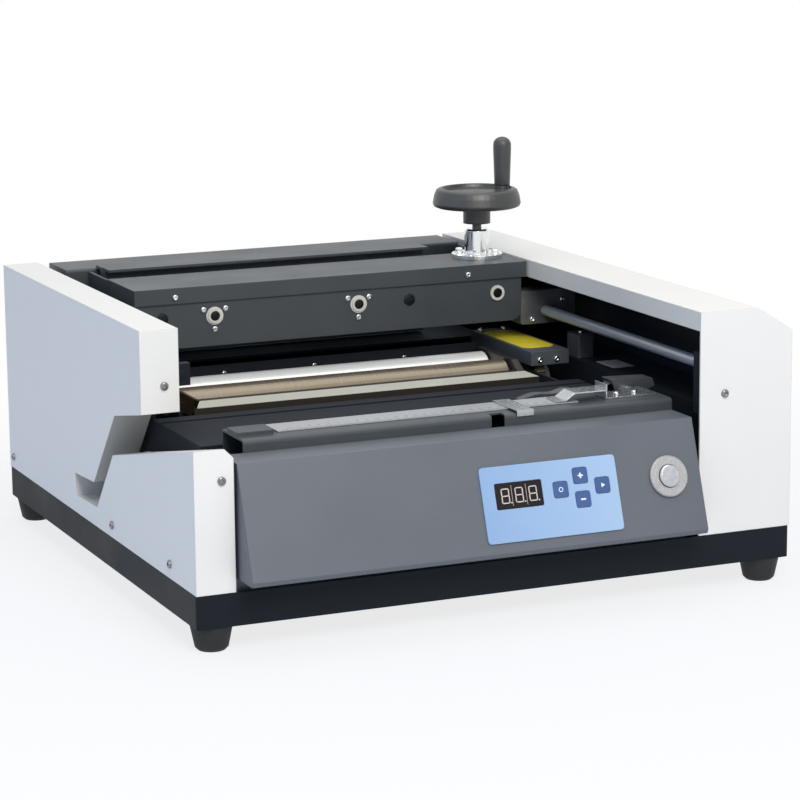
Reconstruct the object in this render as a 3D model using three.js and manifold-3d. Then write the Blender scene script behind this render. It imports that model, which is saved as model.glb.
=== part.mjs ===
import * as THREE from "three";
import { mergeVertices } from "three/addons/utils/BufferGeometryUtils.js";
import Module from "manifold-3d";

// A desktop hot-glue binding machine, in millimetres.
// Places are measured from the base's left side (X), its front face (Y) and its underside (Z).

// Gaps that the pieces share
const seat = 0.3; // between two pieces that touch
const play = 0.3; // round a shaft in its bore
const overrun = 2; // how far a cutting tool passes the face that it opens
const sheet = 2; // folded sheet metal

// Base, covers and rear panel
const base = { width: 630, depth: 607, height: 32, wall: 2, floor: 3, corner: 4 };
const foot = { height: 25, top: 20.5, bottom: 16, inset: 21.5, edge: 3 };
const coverTop = 256.5;
const leftCover = { width: 39, noseTop: 168.5, noseCorner: 9, headFront: 146, headSill: 175.3 };
const slot = {
  throatRun: 83, throatDrop: 16, chuteRun: 73, chuteDrop: 82, pocketRun: 64, pocketDrop: 3.4,
  pocketLean: 4, pocketHeight: 23, sillRun: 68, sillRise: 2, kneeRun: 56, kneeRise: 65,
};
const rightCover = { width: 103.5, chamferWide: 40, chamferHigh: 25, flange: 19 };
const rearPanel = { setback: 6, top: 188 };
const vent = { count: 14, width: 3.5, height: 40, pitch: 12, low: 56 };

// Front panel and its controls; places on the sloping face run down from its top edge
const panel = {
  leftGap: 3, rightGap: 9.5, top: 153.4, toe: 48.5, reach: 36, lip: 2, lipDrop: 4.5, heel: 10,
};
const membrane = { fromRight: 91.7, down: 28, width: 144.5, height: 73.2, thickness: 1.6, corner: 4 };
const display = { along: 14, down: 16.6, width: 49.2, height: 24.8, proud: 0.2, corner: 2 };
const key = {
  along: 105.3, down: 28.6, size: 15.6, corner: 3, apart: 22.4, row: 11.5, thickness: 1.4, low: 0.9,
};
const ring = { fromRight: 35.9, down: 55.3, radius: 20.4, height: 4, bore: 11.6, bevel: 1 };
const button = { radius: 11, low: 1, top: 7, dome: 1.6 };

// Apron with its ruler and gauge clip
const apron = { setback: 41, depth: 57, top: 165, leftGap: 25, rightGap: 8.5, lip: 45, round: 4 };
const notch = { fromRight: 184, width: 14, depth: 11, height: 15 };
const endBlock = { width: 38, front: 17, depth: 28, height: 4, corner: 3 };
const ruler = { fromLeft: 42, front: 20, width: 33, thickness: 1.2 };
const clip = { fromRight: 153.5, width: 18, thickness: 1.2, lipDrop: 6 };

// Zinc bracket at the ruler's right end, with the pivot of the hold-down lever
const bracket = {
  fromRight: 6, front: 21, width: 24, gauge: 1.5, toe: 10, ramp: 10, deck: 34, rise: 6.7, tab: 15, rest: 57,
  tail: 24, drop: 15, overRuler: 23,
};
const pivot = { radius: 3, fromRight: 11.6, fromTop: 1.9, head: 5, headLong: 2.5 };
const lever = {
  standoff: 5.7, width: 21.5, gauge: 1.5, left: 16.4, right: 30.6, nose: 2.6, high: 11.5, fall: 1.8,
  noseDrop: 7.8, chin: 2.6, chinDrop: 9, heel: 4, heelHigh: 1,
};
const spring = { width: 12, gauge: 1, length: 105, rise: 12, root: 6.5, rootHigh: 3 };
const springShares = [[0, 0.9], [0.25, 0.1], [0.49, 0.55], [0.65, 0.28], [0.84, 0.35], [1, 0]];

// Cover nip
const nip = {
  top: 149, depth: 115, skirt: 15, gap: 7, inset: 5, skirtInset: 13, rightGap: 10.5, fromApron: 5,
};
const nipBar = { depth: 18, leg: 19, rightGap: 9.5 };

// Side frames, bed and guide shafts
const frameTop = 146.7;
const leftFrame = {
  fromCover: 7, gauge: 3, front: 30, rear: 11, top: 209, sill: 178, armFront: 208, armBack: 247,
};
const shelf = { outward: 6, inward: 14.7 };
const rightFrame = { fromCover: 25.5, gauge: 3, front: 100, hump: 19, beforeRoller: 13, behindRoller: 57 };
const shaft = { radius: 6, z: 198, left: 22, right: 23.5 };
const ear = { width: 24, depth: 10, low: 11, high: 11, front: 2 };
const bed = { fromCover: 33.5, sideGap: 6, front: 8, rear: 7, top: 152, gauge: 3 };
const post = { left: 12, right: 25, front: 6, depth: 20, rear: 1, rearDepth: 12, high: 14 };
const stopBlock = { inset: 2, width: 20, front: 330, depth: 28, height: 25.7, corner: 3 };

// Glue station
const roller = { radius: 22, frontY: 338, z: 136, journal: 6, endGap: 2, overhang: 4 };
const tank = { fromLeft: 53, fromRight: 42.5, endWall: 8, wall: 9, film: 3, top: 150, low: 95, bevel: 10 };
const ridge = { depth: 24, drop: 8 };
const lug = { height: 10, inset: 16 };
const heater = { thickness: 10.7, inset: 11, endInset: 4 };
const scraper = {
  depth: 35.7, gauge: 3, lip: 10, rightOver: 0, guardFront: 8, guardRise: 10, guardBack: 31,
};
const tankPlate = { gauge: 3, top: 161.5, low: 120 };
const gear = { module: 2, teeth: 25, width: 10, fromFrame: 3, addendum: 1.8, dedendum: 2.3 };
const pinionTeeth = 12;
const toothShares = { root: 0.64, tip: 0.24 };
const motor = { radius: 30, length: 40, fromGear: 3, side: 26.2, post: 4, hub: 6 };
const motorPostShares = [[0.73, -0.46], [-0.53, -0.67]];
const gearCover = { left: 3, width: 45, front: 16, rear: 16, height: 15 };
const jog = { top: 160, gauge: 3, leg: 30, rightGap: 10.5 };
const jogShares = { front: 0.065, back: 0.717 }; // of the room behind the gear cover

// Clamp carriage
const rearBox = { rear: 2.3, depth: 61.7, leftGap: 12, rightGap: 9.5, low: 212, top: 256, corner: 3 };
const jaw = {
  fromSide: 5.7, fromDrive: 57, thickness: 8, low: 163, gap: 0.5, flangeBack: 21.7, flangeFront: 23.5,
  flange: 3, rise: 4, opening: 40, clear: 2.5, rib: 40, ribHigh: 34,
};
const lid = { leftGap: 35, rightGap: 2.5, depth: 89, top: 255, flange: 15, rearFlange: 8 };
const body = { gauge: 3, low: 190.5, rightInset: 5, corner: 12 };
const drive = { z: 222.5, radius: 5, endGap: 1, nose: 1.8 };
const guideRod = { radius: 6, nose: 0.8 };
const screwShares = { left: 0.194, right: 0.5627 }; // of the carriage body's width
const rodShares = [0.0646, 0.698];
const sleeve = { radius: 10, length: 46.5, floor: 2.5 };
const bushing = { radius: 7.8, height: 2.6, flange: 9.5, flangeHeight: 1.2 };
const shaftRing = { radius: 8.3, height: 2 };
const pulley = { radius: 12, width: 8, fromPlate: 1.7 };
const belt = { thickness: 1.5, edge: 0.7 };
const mitre = { teeth: 12, module: 2, addendum: 1.3, dedendum: 2 };
const mitreShares = { root: 0.6, tip: 0.22, small: 0.6 };
const slider = { width: 26, low: 14, high: 23, fromPlate: 1.7, reach: 36, corner: 4 };
const rearSlider = { fromBox: 17, reach: 12, wing: 3.7, wingTop: 250 };
const leftSlider = { depth: 20, reach: 10, low: 11, high: 12, back: 2.7 };

// Handwheel
const wheel = {
  fromLidRight: 34.5, fromLidFront: 53, radius: 48.5, hub: 15, hubLow: 293, webLow: 309, rimLow: 311,
  rimShoulder: 324, top: 332, rim: 10.5, dish: 327.5, cap: 9, capTop: 329.5, slope: 1.5, rimRound: 4.5,
  webRun: 15,
};
const wheelFlange = { radius: 28, thickness: 4.7, boss: 13.7, bossTop: 287, round: 2 };
const crank = {
  alongX: 33, alongY: 4, boss: 8.6, stud: 4, studLong: 38, base: 8.6, swell: 9.9, length: 53.7, dome: 8.5,
  swellDrop: 14,
};

// Mains inlet with its rocker switch
const inlet = { along: 44, z: 56, width: 30, height: 50, bezel: 2.4, back: 28, inset: 2, corner: 2 };
const socket = { width: 21, height: 16, low: 5, depth: 17 };
const rocker = { width: 12.4, radius: 9.7, low: 35.5, sunk: 2.7, proud: 4.5, dip: 1.5, back: 5, fall: 0.5 };

// Facets
const roundSides = 24;
const wheelSides = 48;
const domeSteps = 5;
const arcMiddle = 1 - Math.SQRT1_2; // how far the middle of a rounded edge lies inside its corner
const arcSteps = 3;
const waveSteps = 16;
const mergeDistance = 1e-4;

// Places that several pieces share
const bayLeft = leftCover.width;
const bayRight = base.width - rightCover.width;
const floorTop = base.floor + seat;
const coverLow = base.height + seat;
const panelLeft = bayLeft + panel.leftGap;
const panelRight = bayRight - panel.rightGap;
const apronLeft = bayLeft + apron.leftGap;
const apronRight = bayRight - apron.rightGap;
const apronBack = apron.setback + apron.depth;
const apronSeat = apron.top + seat;
const rulerTop = apronSeat + ruler.thickness;
const nipLow = nip.top - sheet;
const nipFront = apronBack + nip.fromApron;
const nipBack = nipFront + nip.depth;
const barFront = nipBack + nip.gap;
const leftFrameX = bayLeft + leftFrame.fromCover;
const leftFrameInner = leftFrameX + leftFrame.gauge;
const rightFrameInner = bayRight - rightFrame.fromCover;
const rightFrameX = rightFrameInner - rightFrame.gauge;
const frameBack = base.depth - leftFrame.rear;
const leftShaftX = bayLeft + shaft.left;
const rightShaftX = bayRight + shaft.right;
const bedLeft = bayRight + bed.fromCover;
const bedRight = base.width - base.wall - bed.sideGap;
const bedBack = base.depth - bed.rear;
const rearRollerY = roller.frontY + gear.teeth * gear.module;
const troughFront = roller.frontY - roller.radius - tank.film;
const troughBack = rearRollerY + roller.radius + tank.film;
const tankFront = troughFront - tank.wall;
const tankBack = troughBack + tank.wall;
const tankLeft = bayLeft + tank.fromLeft;
const tankRight = bayRight - tank.fromRight;
const humpFront = roller.frontY - rightFrame.beforeRoller;
const humpBack = rearRollerY + rightFrame.behindRoller;
const gearLeft = rightFrameInner + gear.fromFrame;
const gearRight = gearLeft + gear.width;
const motorY = rearRollerY + motor.side;
const motorZ = roller.z - motor.side;
const boxBack = base.depth - rearBox.rear;
const boxFront = boxBack - rearBox.depth;
const boxRight = bayRight - rearBox.rightGap;
const lidLeft = bayLeft + lid.leftGap;
const lidRight = bayRight - lid.rightGap;
const bodyLeft = lidLeft + sheet + seat;
const bodyRight = lidRight - body.rightInset;
const bodyTop = lid.top - sheet - seat;
const jawLeft = bodyLeft + body.gauge + jaw.fromSide;
const jawRight = bodyRight - body.gauge - jaw.fromDrive;
const jawBack = boxFront - seat;
const rearJawFront = jawBack - jaw.flangeBack;
const frontJawBack = rearJawFront - jaw.gap;
const frontJawFront = frontJawBack - jaw.thickness;
const lidBack = frontJawFront - jaw.opening - jaw.clear;
const lidFront = lidBack - lid.depth;
const bodyFront = lidFront + sheet + seat;
const bodyInner = bodyFront + body.gauge;
const pulleyFront = bodyInner + pulley.fromPlate;
const wheelX = lidRight - wheel.fromLidRight;
const wheelY = lidFront + wheel.fromLidFront;
const mitreRadius = (mitre.teeth * mitre.module) / 2;
const bodyPlace = (share) => bodyLeft + share * (bodyRight - bodyLeft);
const screwPlaces = { left: bodyPlace(screwShares.left), right: bodyPlace(screwShares.right) };
const rodPlaces = rodShares.map(bodyPlace);

const wasm = await Module();
wasm.setup();

// Joining and cutting
function solidOf(geometry) {
  const bare = geometry.clone();
  bare.deleteAttribute("normal");
  bare.deleteAttribute("uv");
  const merged = mergeVertices(bare, mergeDistance);
  const corners = merged.index.array;
  const kept = [];
  for (let i = 0; i < corners.length; i += 3) {
    const [a, b, c] = [corners[i], corners[i + 1], corners[i + 2]];
    if (a !== b && b !== c && c !== a) kept.push(a, b, c);
  }
  const surface = {
    numProp: 3,
    vertProperties: merged.attributes.position.array,
    triVerts: new Uint32Array(kept),
  };
  return new wasm.Manifold(new wasm.Mesh(surface));
}

function geometryOf(made) {
  const surface = made.getMesh();
  const geometry = new THREE.BufferGeometry();
  geometry.setAttribute("position", new THREE.BufferAttribute(surface.vertProperties, 3));
  geometry.setIndex(new THREE.BufferAttribute(surface.triVerts, 1));
  return geometry;
}

function join(...pieces) {
  return geometryOf(pieces.map(solidOf).reduce((sum, piece) => sum.add(piece)));
}

function cut(piece, ...tools) {
  return geometryOf(tools.map(solidOf).reduce((rest, tool) => rest.subtract(tool), solidOf(piece)));
}

// Basic forms, placed by their limits
function box([x0, x1], [y0, y1], [z0, z1]) {
  const made = new THREE.BoxGeometry(x1 - x0, y1 - y0, z1 - z0);
  return made.translate((x0 + x1) / 2, (y0 + y1) / 2, (z0 + z1) / 2);
}

function rodX(radius, [x0, x1], y, z, sides = roundSides) {
  const made = new THREE.CylinderGeometry(radius, radius, x1 - x0, sides);
  return made.rotateZ(-Math.PI / 2).translate((x0 + x1) / 2, y, z);
}

function rodY(radius, x, [y0, y1], z, sides = roundSides) {
  const made = new THREE.CylinderGeometry(radius, radius, y1 - y0, sides);
  return made.translate(x, (y0 + y1) / 2, z);
}

function rodZ(radius, x, y, [z0, z1], sides = roundSides) {
  const made = new THREE.CylinderGeometry(radius, radius, z1 - z0, sides);
  return made.rotateX(Math.PI / 2).translate(x, y, (z0 + z1) / 2);
}

// A solid of revolution about Z, from a profile of [radius, height] that starts and ends on the axis
function turned(profile, x, y, sides = roundSides) {
  const points = profile.map(([radius, height]) => new THREE.Vector2(radius, height));
  const made = new THREE.LatheGeometry(points, sides).rotateX(Math.PI / 2).translate(x, y, 0);
  return geometryOf(solidOf(made));
}

// An outline of corners [a, b, radius]; a radius rounds its corner as far as its sides allow
function outline(corners) {
  const shape = new THREE.Shape();
  const points = corners.map(([a, b]) => new THREE.Vector2(a, b));
  points.forEach((corner, i) => {
    const radius = corners[i][2] ?? 0;
    const before = points[(i + points.length - 1) % points.length].clone().sub(corner);
    const after = points[(i + 1) % points.length].clone().sub(corner);
    const half = before.angleTo(after) / 2;
    const run = Math.min(radius / Math.tan(half), before.length() / 2, after.length() / 2);
    const start = corner.clone().addScaledVector(before.normalize(), run);
    const end = corner.clone().addScaledVector(after.normalize(), run);
    if (i === 0) shape.moveTo(start.x, start.y);
    else shape.lineTo(start.x, start.y);
    if (radius > 0) shape.quadraticCurveTo(corner.x, corner.y, end.x, end.y);
  });
  return shape;
}

function extruded(shape, depth) {
  return new THREE.ExtrudeGeometry(shape, { depth, bevelEnabled: false, curveSegments: arcSteps });
}

const towardsX = new THREE.Matrix4().set(0, 0, 1, 0, 1, 0, 0, 0, 0, 1, 0, 0, 0, 0, 0, 1);
const towardsFront = new THREE.Matrix4().set(1, 0, 0, 0, 0, 0, -1, 0, 0, 1, 0, 0, 0, 0, 0, 1);

// Plates: an outline of [y, z] along X, of [x, z] along Y, or of [x, y] along Z
function plateX(corners, [x0, x1]) {
  return extruded(outline(corners), x1 - x0).applyMatrix4(towardsX).translate(x0, 0, 0);
}

function plateY(corners, [y0, y1]) {
  return extruded(outline(corners), y1 - y0).applyMatrix4(towardsFront).translate(0, y1, 0);
}

function plateZ(corners, [z0, z1]) {
  return extruded(outline(corners), z1 - z0).translate(0, 0, z0);
}

function rectangle([a0, a1], [b0, b1], radius = 0) {
  return [[a0, b0, radius], [a1, b0, radius], [a1, b1, radius], [a0, b1, radius]];
}

// An outline moved inwards by a wall; its corners run anticlockwise
function inset(corners, wall) {
  const edges = corners.map(([a, b], i) => {
    const [c, d] = corners[(i + 1) % corners.length];
    const length = Math.hypot(c - a, d - b);
    const [u, v] = [(c - a) / length, (d - b) / length];
    return { a: a - v * wall, b: b + u * wall, u, v };
  });
  return edges.map((edge, i) => {
    const last = edges[(i + edges.length - 1) % edges.length];
    const turn = last.u * edge.v - last.v * edge.u;
    const along = ((edge.a - last.a) * edge.v - (edge.b - last.b) * edge.u) / turn;
    return [last.a + last.u * along, last.b + last.v * along];
  });
}

// A bent strip: a line of points [a, b, radius], with its thickness on its left
function strip(points, thickness) {
  const line = points.map(([a, b]) => new THREE.Vector2(a, b));
  const side = line.map((point, i) => {
    const last = Math.max(i, 1);
    const next = Math.min(i, line.length - 2);
    const back = line[last].clone().sub(line[last - 1]).normalize();
    const ahead = line[next + 1].clone().sub(line[next]).normalize();
    const way = back.clone().add(ahead).normalize();
    const lift = thickness / way.dot(ahead);
    const radius = Math.max((points[i][2] ?? 0) - thickness, 0);
    return [point.x - way.y * lift, point.y + way.x * lift, radius];
  });
  return [...points, ...side.reverse()];
}

// A gear's outline round the origin, with straight flanks and its first tooth at an angle
function gearShape({ teeth, module, addendum, dedendum, phase, shares }) {
  const pitchRadius = (teeth * module) / 2;
  const root = pitchRadius - dedendum;
  const tip = pitchRadius + addendum;
  const flank = [[root, -shares.root], [tip, -shares.tip], [tip, shares.tip], [root, shares.root]];
  const points = [];
  for (let tooth = 0; tooth < teeth; tooth += 1) {
    for (const [radius, share] of flank) {
      const angle = phase + ((tooth + share / 2) * 2 * Math.PI) / teeth;
      points.push(new THREE.Vector2(radius * Math.cos(angle), radius * Math.sin(angle)));
    }
  }
  return new THREE.Shape(points);
}

// The angle of a gear's first tooth, where it meshes with another that it lies at an angle from
function meshPhase(angle, teeth, phase, otherTeeth) {
  const turns = ((angle - phase) * teeth) / (2 * Math.PI);
  return angle + Math.PI - ((1 / 2 - turns) * 2 * Math.PI) / otherTeeth;
}

const paints = {
  white: { color: 0xeceef2, roughness: 0.45, metalness: 0.05 },
  slate: { color: 0x454b52, roughness: 0.55, metalness: 0.2 },
  grey: { color: 0x6a6e73, roughness: 0.5, metalness: 0.25 },
  rubber: { color: 0x151515, roughness: 0.85, metalness: 0 },
  steel: { color: 0xc9ccd0, roughness: 0.25, metalness: 1 },
  chrome: { color: 0xe4e7ea, roughness: 0.08, metalness: 1 },
  zinc: { color: 0xd8dbdd, roughness: 0.35, metalness: 0.9 },
  bronze: { color: 0xb09a72, roughness: 0.25, metalness: 1 },
  aluminium: { color: 0xa6a8aa, roughness: 0.5, metalness: 0.8 },
  black: { color: 0x1d1e20, roughness: 0.5, metalness: 0.05 },
  pale: { color: 0xe9e7df, roughness: 0.5, metalness: 0 },
  blue: { color: 0xa9cdee, roughness: 0.4, metalness: 0 },
  deepBlue: { color: 0x3f6fb0, roughness: 0.4, metalness: 0 },
  glass: { color: 0x101216, roughness: 0.1, metalness: 0 },
};

const machine = new THREE.Group();
machine.position.set(-base.width / 2, (panel.reach - base.depth) / 2, foot.height);

function add(name, geometry, paint, parent = machine) {
  const mesh = new THREE.Mesh(geometry, new THREE.MeshStandardMaterial(paints[paint]));
  mesh.name = name;
  geometry.computeVertexNormals();
  parent.add(mesh);
}

// Base tray on four tapered feet
function baseAndFeet() {
  const pan = plateZ(rectangle([0, base.width], [0, base.depth], base.corner), [0, base.height]);
  const well = box(
    [base.wall, base.width - base.wall],
    [base.wall, base.depth - base.wall],
    [base.floor, base.height + overrun],
  );
  add("base_tray", cut(pan, well), "slate");
  const profile = [
    [0, -foot.height],
    [foot.bottom - foot.edge, -foot.height],
    [foot.bottom, foot.edge - foot.height],
    [foot.top, -seat],
    [0, -seat],
  ];
  const sides = { left: foot.inset, right: base.width - foot.inset };
  const ends = { front: foot.inset, rear: base.depth - foot.inset };
  for (const [end, y] of Object.entries(ends)) {
    for (const [side, x] of Object.entries(sides)) {
      add(`foot_${end}_${side}`, turned(profile, x, y), "rubber");
    }
  }
}

// Left cover: a head at the back and a low nose in front, with a cranked slot between them for cover sheets
function leftCoverShell() {
  const mouth = [leftCover.headFront, leftCover.headSill];
  const throat = [mouth[0] + slot.throatRun, mouth[1] - slot.throatDrop];
  const chute = [throat[0] + slot.chuteRun, throat[1] - slot.chuteDrop];
  const pocket = [chute[0] + slot.pocketRun, chute[1] - slot.pocketDrop];
  const pocketLow = [pocket[0] - slot.pocketLean, pocket[1] - slot.pocketHeight];
  const sill = [pocketLow[0] - slot.sillRun, pocketLow[1] + slot.sillRise];
  const knee = [sill[0] - slot.kneeRun, sill[1] + slot.kneeRise];
  const head = [[base.depth, coverLow], [base.depth, coverTop], [leftCover.headFront, coverTop]];
  const channel = [mouth, throat, chute, pocket, pocketLow, sill, knee];
  const side = [[0, coverLow], ...head, ...channel, [0, leftCover.noseTop]];
  const bite = leftCover.noseCorner + overrun;
  const wedge = [[-bite, overrun], [overrun, overrun], [overrun, -bite]];
  const drop = leftCover.noseTop - knee[1];
  const corner = plateY(wedge, [-overrun, Math.hypot(drop, knee[0])]);
  corner.rotateX(-Math.atan2(drop, knee[0])).translate(leftCover.width, 0, leftCover.noseTop);
  const innerCorner = corner.clone().translate(-sheet * Math.SQRT2, 0, 0);
  const whole = cut(plateX(side, [0, leftCover.width]), corner);
  const hollow = cut(plateX(inset(side, sheet), [sheet, leftCover.width + overrun]), innerCorner);
  add("left_cover", cut(whole, hollow), "white");
}

// Right cover: closed at both ends, open to the bay below its inner flange
function rightCoverShell() {
  const section = [
    [bayRight, coverLow],
    [base.width, coverLow],
    [base.width, coverTop - rightCover.chamferHigh],
    [base.width - rightCover.chamferWide, coverTop],
    [bayRight, coverTop],
  ];
  const deep = [sheet, base.depth - sheet];
  const hollow = plateY(inset(section, sheet), deep);
  const inward = box(
    [bayRight - overrun, bayRight + sheet + overrun],
    deep,
    [coverLow - overrun, coverTop - rightCover.flange],
  );
  const downward = box(
    [bayRight - overrun, base.width - sheet],
    deep,
    [coverLow - overrun, coverLow + sheet + overrun],
  );
  add("right_cover", cut(plateY(section, [0, base.depth]), hollow, inward, downward), "white");
}

const panelBack = base.depth - rearPanel.setback;
const inletLeft = bayLeft + inlet.along;
const inletBody = [inletLeft + inlet.inset, inletLeft + inlet.width - inlet.inset];
const inletBodyZ = [inlet.z + inlet.inset, inlet.z + inlet.height - inlet.inset];
const inletFace = panelBack + seat + inlet.bezel;
const inletX = inletLeft + inlet.width / 2;
const rockerY = inletFace - rocker.sunk;
const rockerZ = inlet.z + rocker.low;

function backPanel() {
  const deep = [panelBack - sheet, panelBack];
  const through = [deep[0] - overrun, deep[1] + overrun];
  const whole = box([bayLeft + seat, bayRight - seat], deep, [floorTop, rearPanel.top]);
  const first = (bayLeft + bayRight - (vent.count - 1) * vent.pitch) / 2;
  const slots = Array.from({ length: vent.count }, (_, i) => {
    const x = first + i * vent.pitch;
    return box([x - vent.width / 2, x + vent.width / 2], through, [vent.low, vent.low + vent.height]);
  });
  const window = box(
    [inletBody[0] - play, inletBody[1] + play],
    through,
    [inletBodyZ[0] - play, inletBodyZ[1] + play],
  );
  add("rear_panel", cut(whole, window, ...slots), "slate");
}

function powerInlet() {
  const plate = plateY(
    rectangle([inletLeft, inletLeft + inlet.width], [inlet.z, inlet.z + inlet.height], inlet.corner),
    [panelBack + seat, inletFace],
  );
  const housing = box(inletBody, [inletFace - inlet.back, inletFace - inlet.bezel / 2], inletBodyZ);
  const plugHole = box(
    [inletX - socket.width / 2, inletX + socket.width / 2],
    [inletFace - socket.depth, inletFace + overrun],
    [inlet.z + socket.low, inlet.z + socket.low + socket.height],
  );
  const rockerRoom = rocker.radius + play;
  const rockerHole = box(
    [inletX - rocker.width / 2 - play, inletX + rocker.width / 2 + play],
    [rockerY - rockerRoom, inletFace + overrun],
    [rockerZ - rockerRoom, rockerZ + rockerRoom],
  );
  add("power_inlet", cut(join(plate, housing), plugHole, rockerHole), "black");
  const reach = Math.sqrt(rocker.radius ** 2 - rocker.proud ** 2);
  const rear = Math.sqrt(rocker.radius ** 2 - rocker.back ** 2);
  const profile = [
    [rockerY - rocker.back, rockerZ - rear],
    [rockerY + rocker.fall, rockerZ - rocker.radius + rocker.fall],
    [rockerY + rocker.dip, rockerZ],
    [rockerY + rocker.proud, rockerZ + reach],
    [rockerY - rocker.back, rockerZ + rear],
  ];
  const across = [inletX - rocker.width / 2, inletX + rocker.width / 2];
  add("rocker_switch", plateX(profile, across), "black");
}

// The front panel leans back; on its face, x runs right, y up the slope and z out of it
const slope = Math.atan2(panel.reach, panel.top - panel.toe);
const face = new THREE.Group();
face.position.set(0, 0, panel.top);
face.rotation.x = Math.PI / 2 - slope;
face.updateMatrix();
machine.add(face);
const ringX = panelRight - ring.fromRight;
const membraneLeft = panelRight - membrane.fromRight - membrane.width;
const displayX = [membraneLeft + display.along, membraneLeft + display.along + display.width];
const displayY = [-membrane.down - display.down - display.height, -membrane.down - display.down];
const keyX = membraneLeft + key.along;
const keyY = -membrane.down - key.down;
const keyPlaces = {
  plus: [keyX, keyY + key.row],
  minus: [keyX, keyY - key.row],
  set: [keyX - key.apart, keyY],
  ok: [keyX + key.apart, keyY],
};

function frontPanel() {
  const folds = [
    [apron.setback - seat, panel.top],
    [0, panel.top],
    [-panel.reach, panel.toe],
    [panel.lip - panel.reach, panel.toe - panel.lipDrop],
    [panel.heel, panel.toe - panel.lipDrop],
    [panel.heel, floorTop],
  ];
  const skin = plateX(strip(folds, sheet), [panelLeft, panelRight]);
  const side = [...folds.slice(1, 5), [panel.heel, panel.top]];
  const cheeks = [[panelLeft, panelLeft + sheet], [panelRight - sheet, panelRight]];
  const ends = cheeks.map((limits) => plateX(side, limits));
  const hole = rodZ(ring.bore, ringX, -ring.down, [-sheet - overrun, overrun]).applyMatrix4(face.matrix);
  add("front_panel", cut(join(skin, ...ends), hole), "grey");
}

function keySquare([x, y], half) {
  return rectangle([x - half, x + half], [y - half, y + half], key.corner);
}

function controls() {
  const top = seat + membrane.thickness;
  const through = [seat - overrun, top + overrun];
  const pad = plateZ(
    rectangle(
      [membraneLeft, membraneLeft + membrane.width],
      [-membrane.down - membrane.height, -membrane.down],
      membrane.corner,
    ),
    [seat, top],
  );
  const window = plateZ(
    rectangle(
      [displayX[0] - play, displayX[1] + play],
      [displayY[0] - play, displayY[1] + play],
      display.corner,
    ),
    through,
  );
  const holes = Object.values(keyPlaces).map((place) => {
    return plateZ(keySquare(place, key.size / 2 + play), through);
  });
  add("membrane_panel", cut(pad, window, ...holes), "blue", face);
  const pane = plateZ(rectangle(displayX, displayY, display.corner), [seat, top + display.proud]);
  add("display_window", pane, "glass", face);
  for (const [name, place] of Object.entries(keyPlaces)) {
    const cap = plateZ(keySquare(place, key.size / 2), [key.low, key.low + key.thickness]);
    add(`key_${name}`, cap, "deepBlue", face);
  }
  const collar = [
    [0, seat],
    [ring.radius, seat],
    [ring.radius, ring.height - ring.bevel],
    [ring.radius - ring.bevel, ring.height],
    [0, ring.height],
  ];
  const bore = rodZ(ring.bore, ringX, -ring.down, [seat - overrun, ring.height + overrun], wheelSides);
  add("button_ring", cut(turned(collar, ringX, -ring.down, wheelSides), bore), "chrome", face);
  const cap = [
    [0, button.low],
    [button.radius, button.low],
    [button.radius, button.top - button.dome],
    [button.radius - button.dome, button.top - button.dome / 4],
    [0, button.top],
  ];
  add("start_button", turned(cap, ringX, -ring.down, wheelSides), "chrome", face);
}

const bracketRight = apronRight - bracket.fromRight;
const bracketStep = bracketRight - bracket.rest;
const bracketLeft = bracketStep - bracket.toe - bracket.ramp - bracket.deck;

// Apron: the front table, with the sight notch and the ruler's end block
function apronAndRuler() {
  const folds = [
    [apronBack, apron.top - apron.lip],
    [apronBack, apron.top],
    [apron.setback, apron.top, apron.round],
    [apron.setback, floorTop],
  ];
  const table = plateX(strip(folds, sheet), [apronLeft, apronRight]);
  const blockFront = apron.setback + endBlock.front;
  const block = plateZ(
    rectangle(
      [apronLeft, apronLeft + endBlock.width],
      [blockFront, blockFront + endBlock.depth],
      endBlock.corner,
    ),
    [apron.top - sheet / 2, apron.top + endBlock.height],
  );
  const notchRight = apronRight - notch.fromRight;
  const bite = box(
    [notchRight - notch.width, notchRight],
    [apron.setback - overrun, apron.setback + notch.depth],
    [apron.top - notch.height, apron.top + overrun],
  );
  add("apron", cut(join(table, block), bite), "slate");
  const rulerFront = apron.setback + ruler.front;
  const rulerBack = rulerFront + ruler.width;
  const rulerX = [apronLeft + ruler.fromLeft, bracketLeft + bracket.overRuler];
  add("ruler", box(rulerX, [rulerFront, rulerBack], [apronSeat, rulerTop]), "steel");
  const top = rulerTop + seat + clip.thickness;
  const back = rulerBack + seat + clip.thickness;
  const front = apron.setback - seat - clip.thickness;
  const saddle = [[back, apronSeat], [back, top], [front, top], [front, top - clip.lipDrop]];
  const clipX = [apronRight - clip.fromRight - clip.width, apronRight - clip.fromRight];
  add("gauge_clip", plateX(strip(saddle, clip.thickness), clipX), "zinc");
}

const bracketFront = apron.setback + bracket.front;
const pivotX = bracketRight - pivot.fromRight;
const pivotZ = apron.top - pivot.fromTop;
const flangeBack = apronBack + seat + bracket.gauge;
const leverFront = flangeBack + lever.standoff;
const leverBack = leverFront + lever.width;

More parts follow.
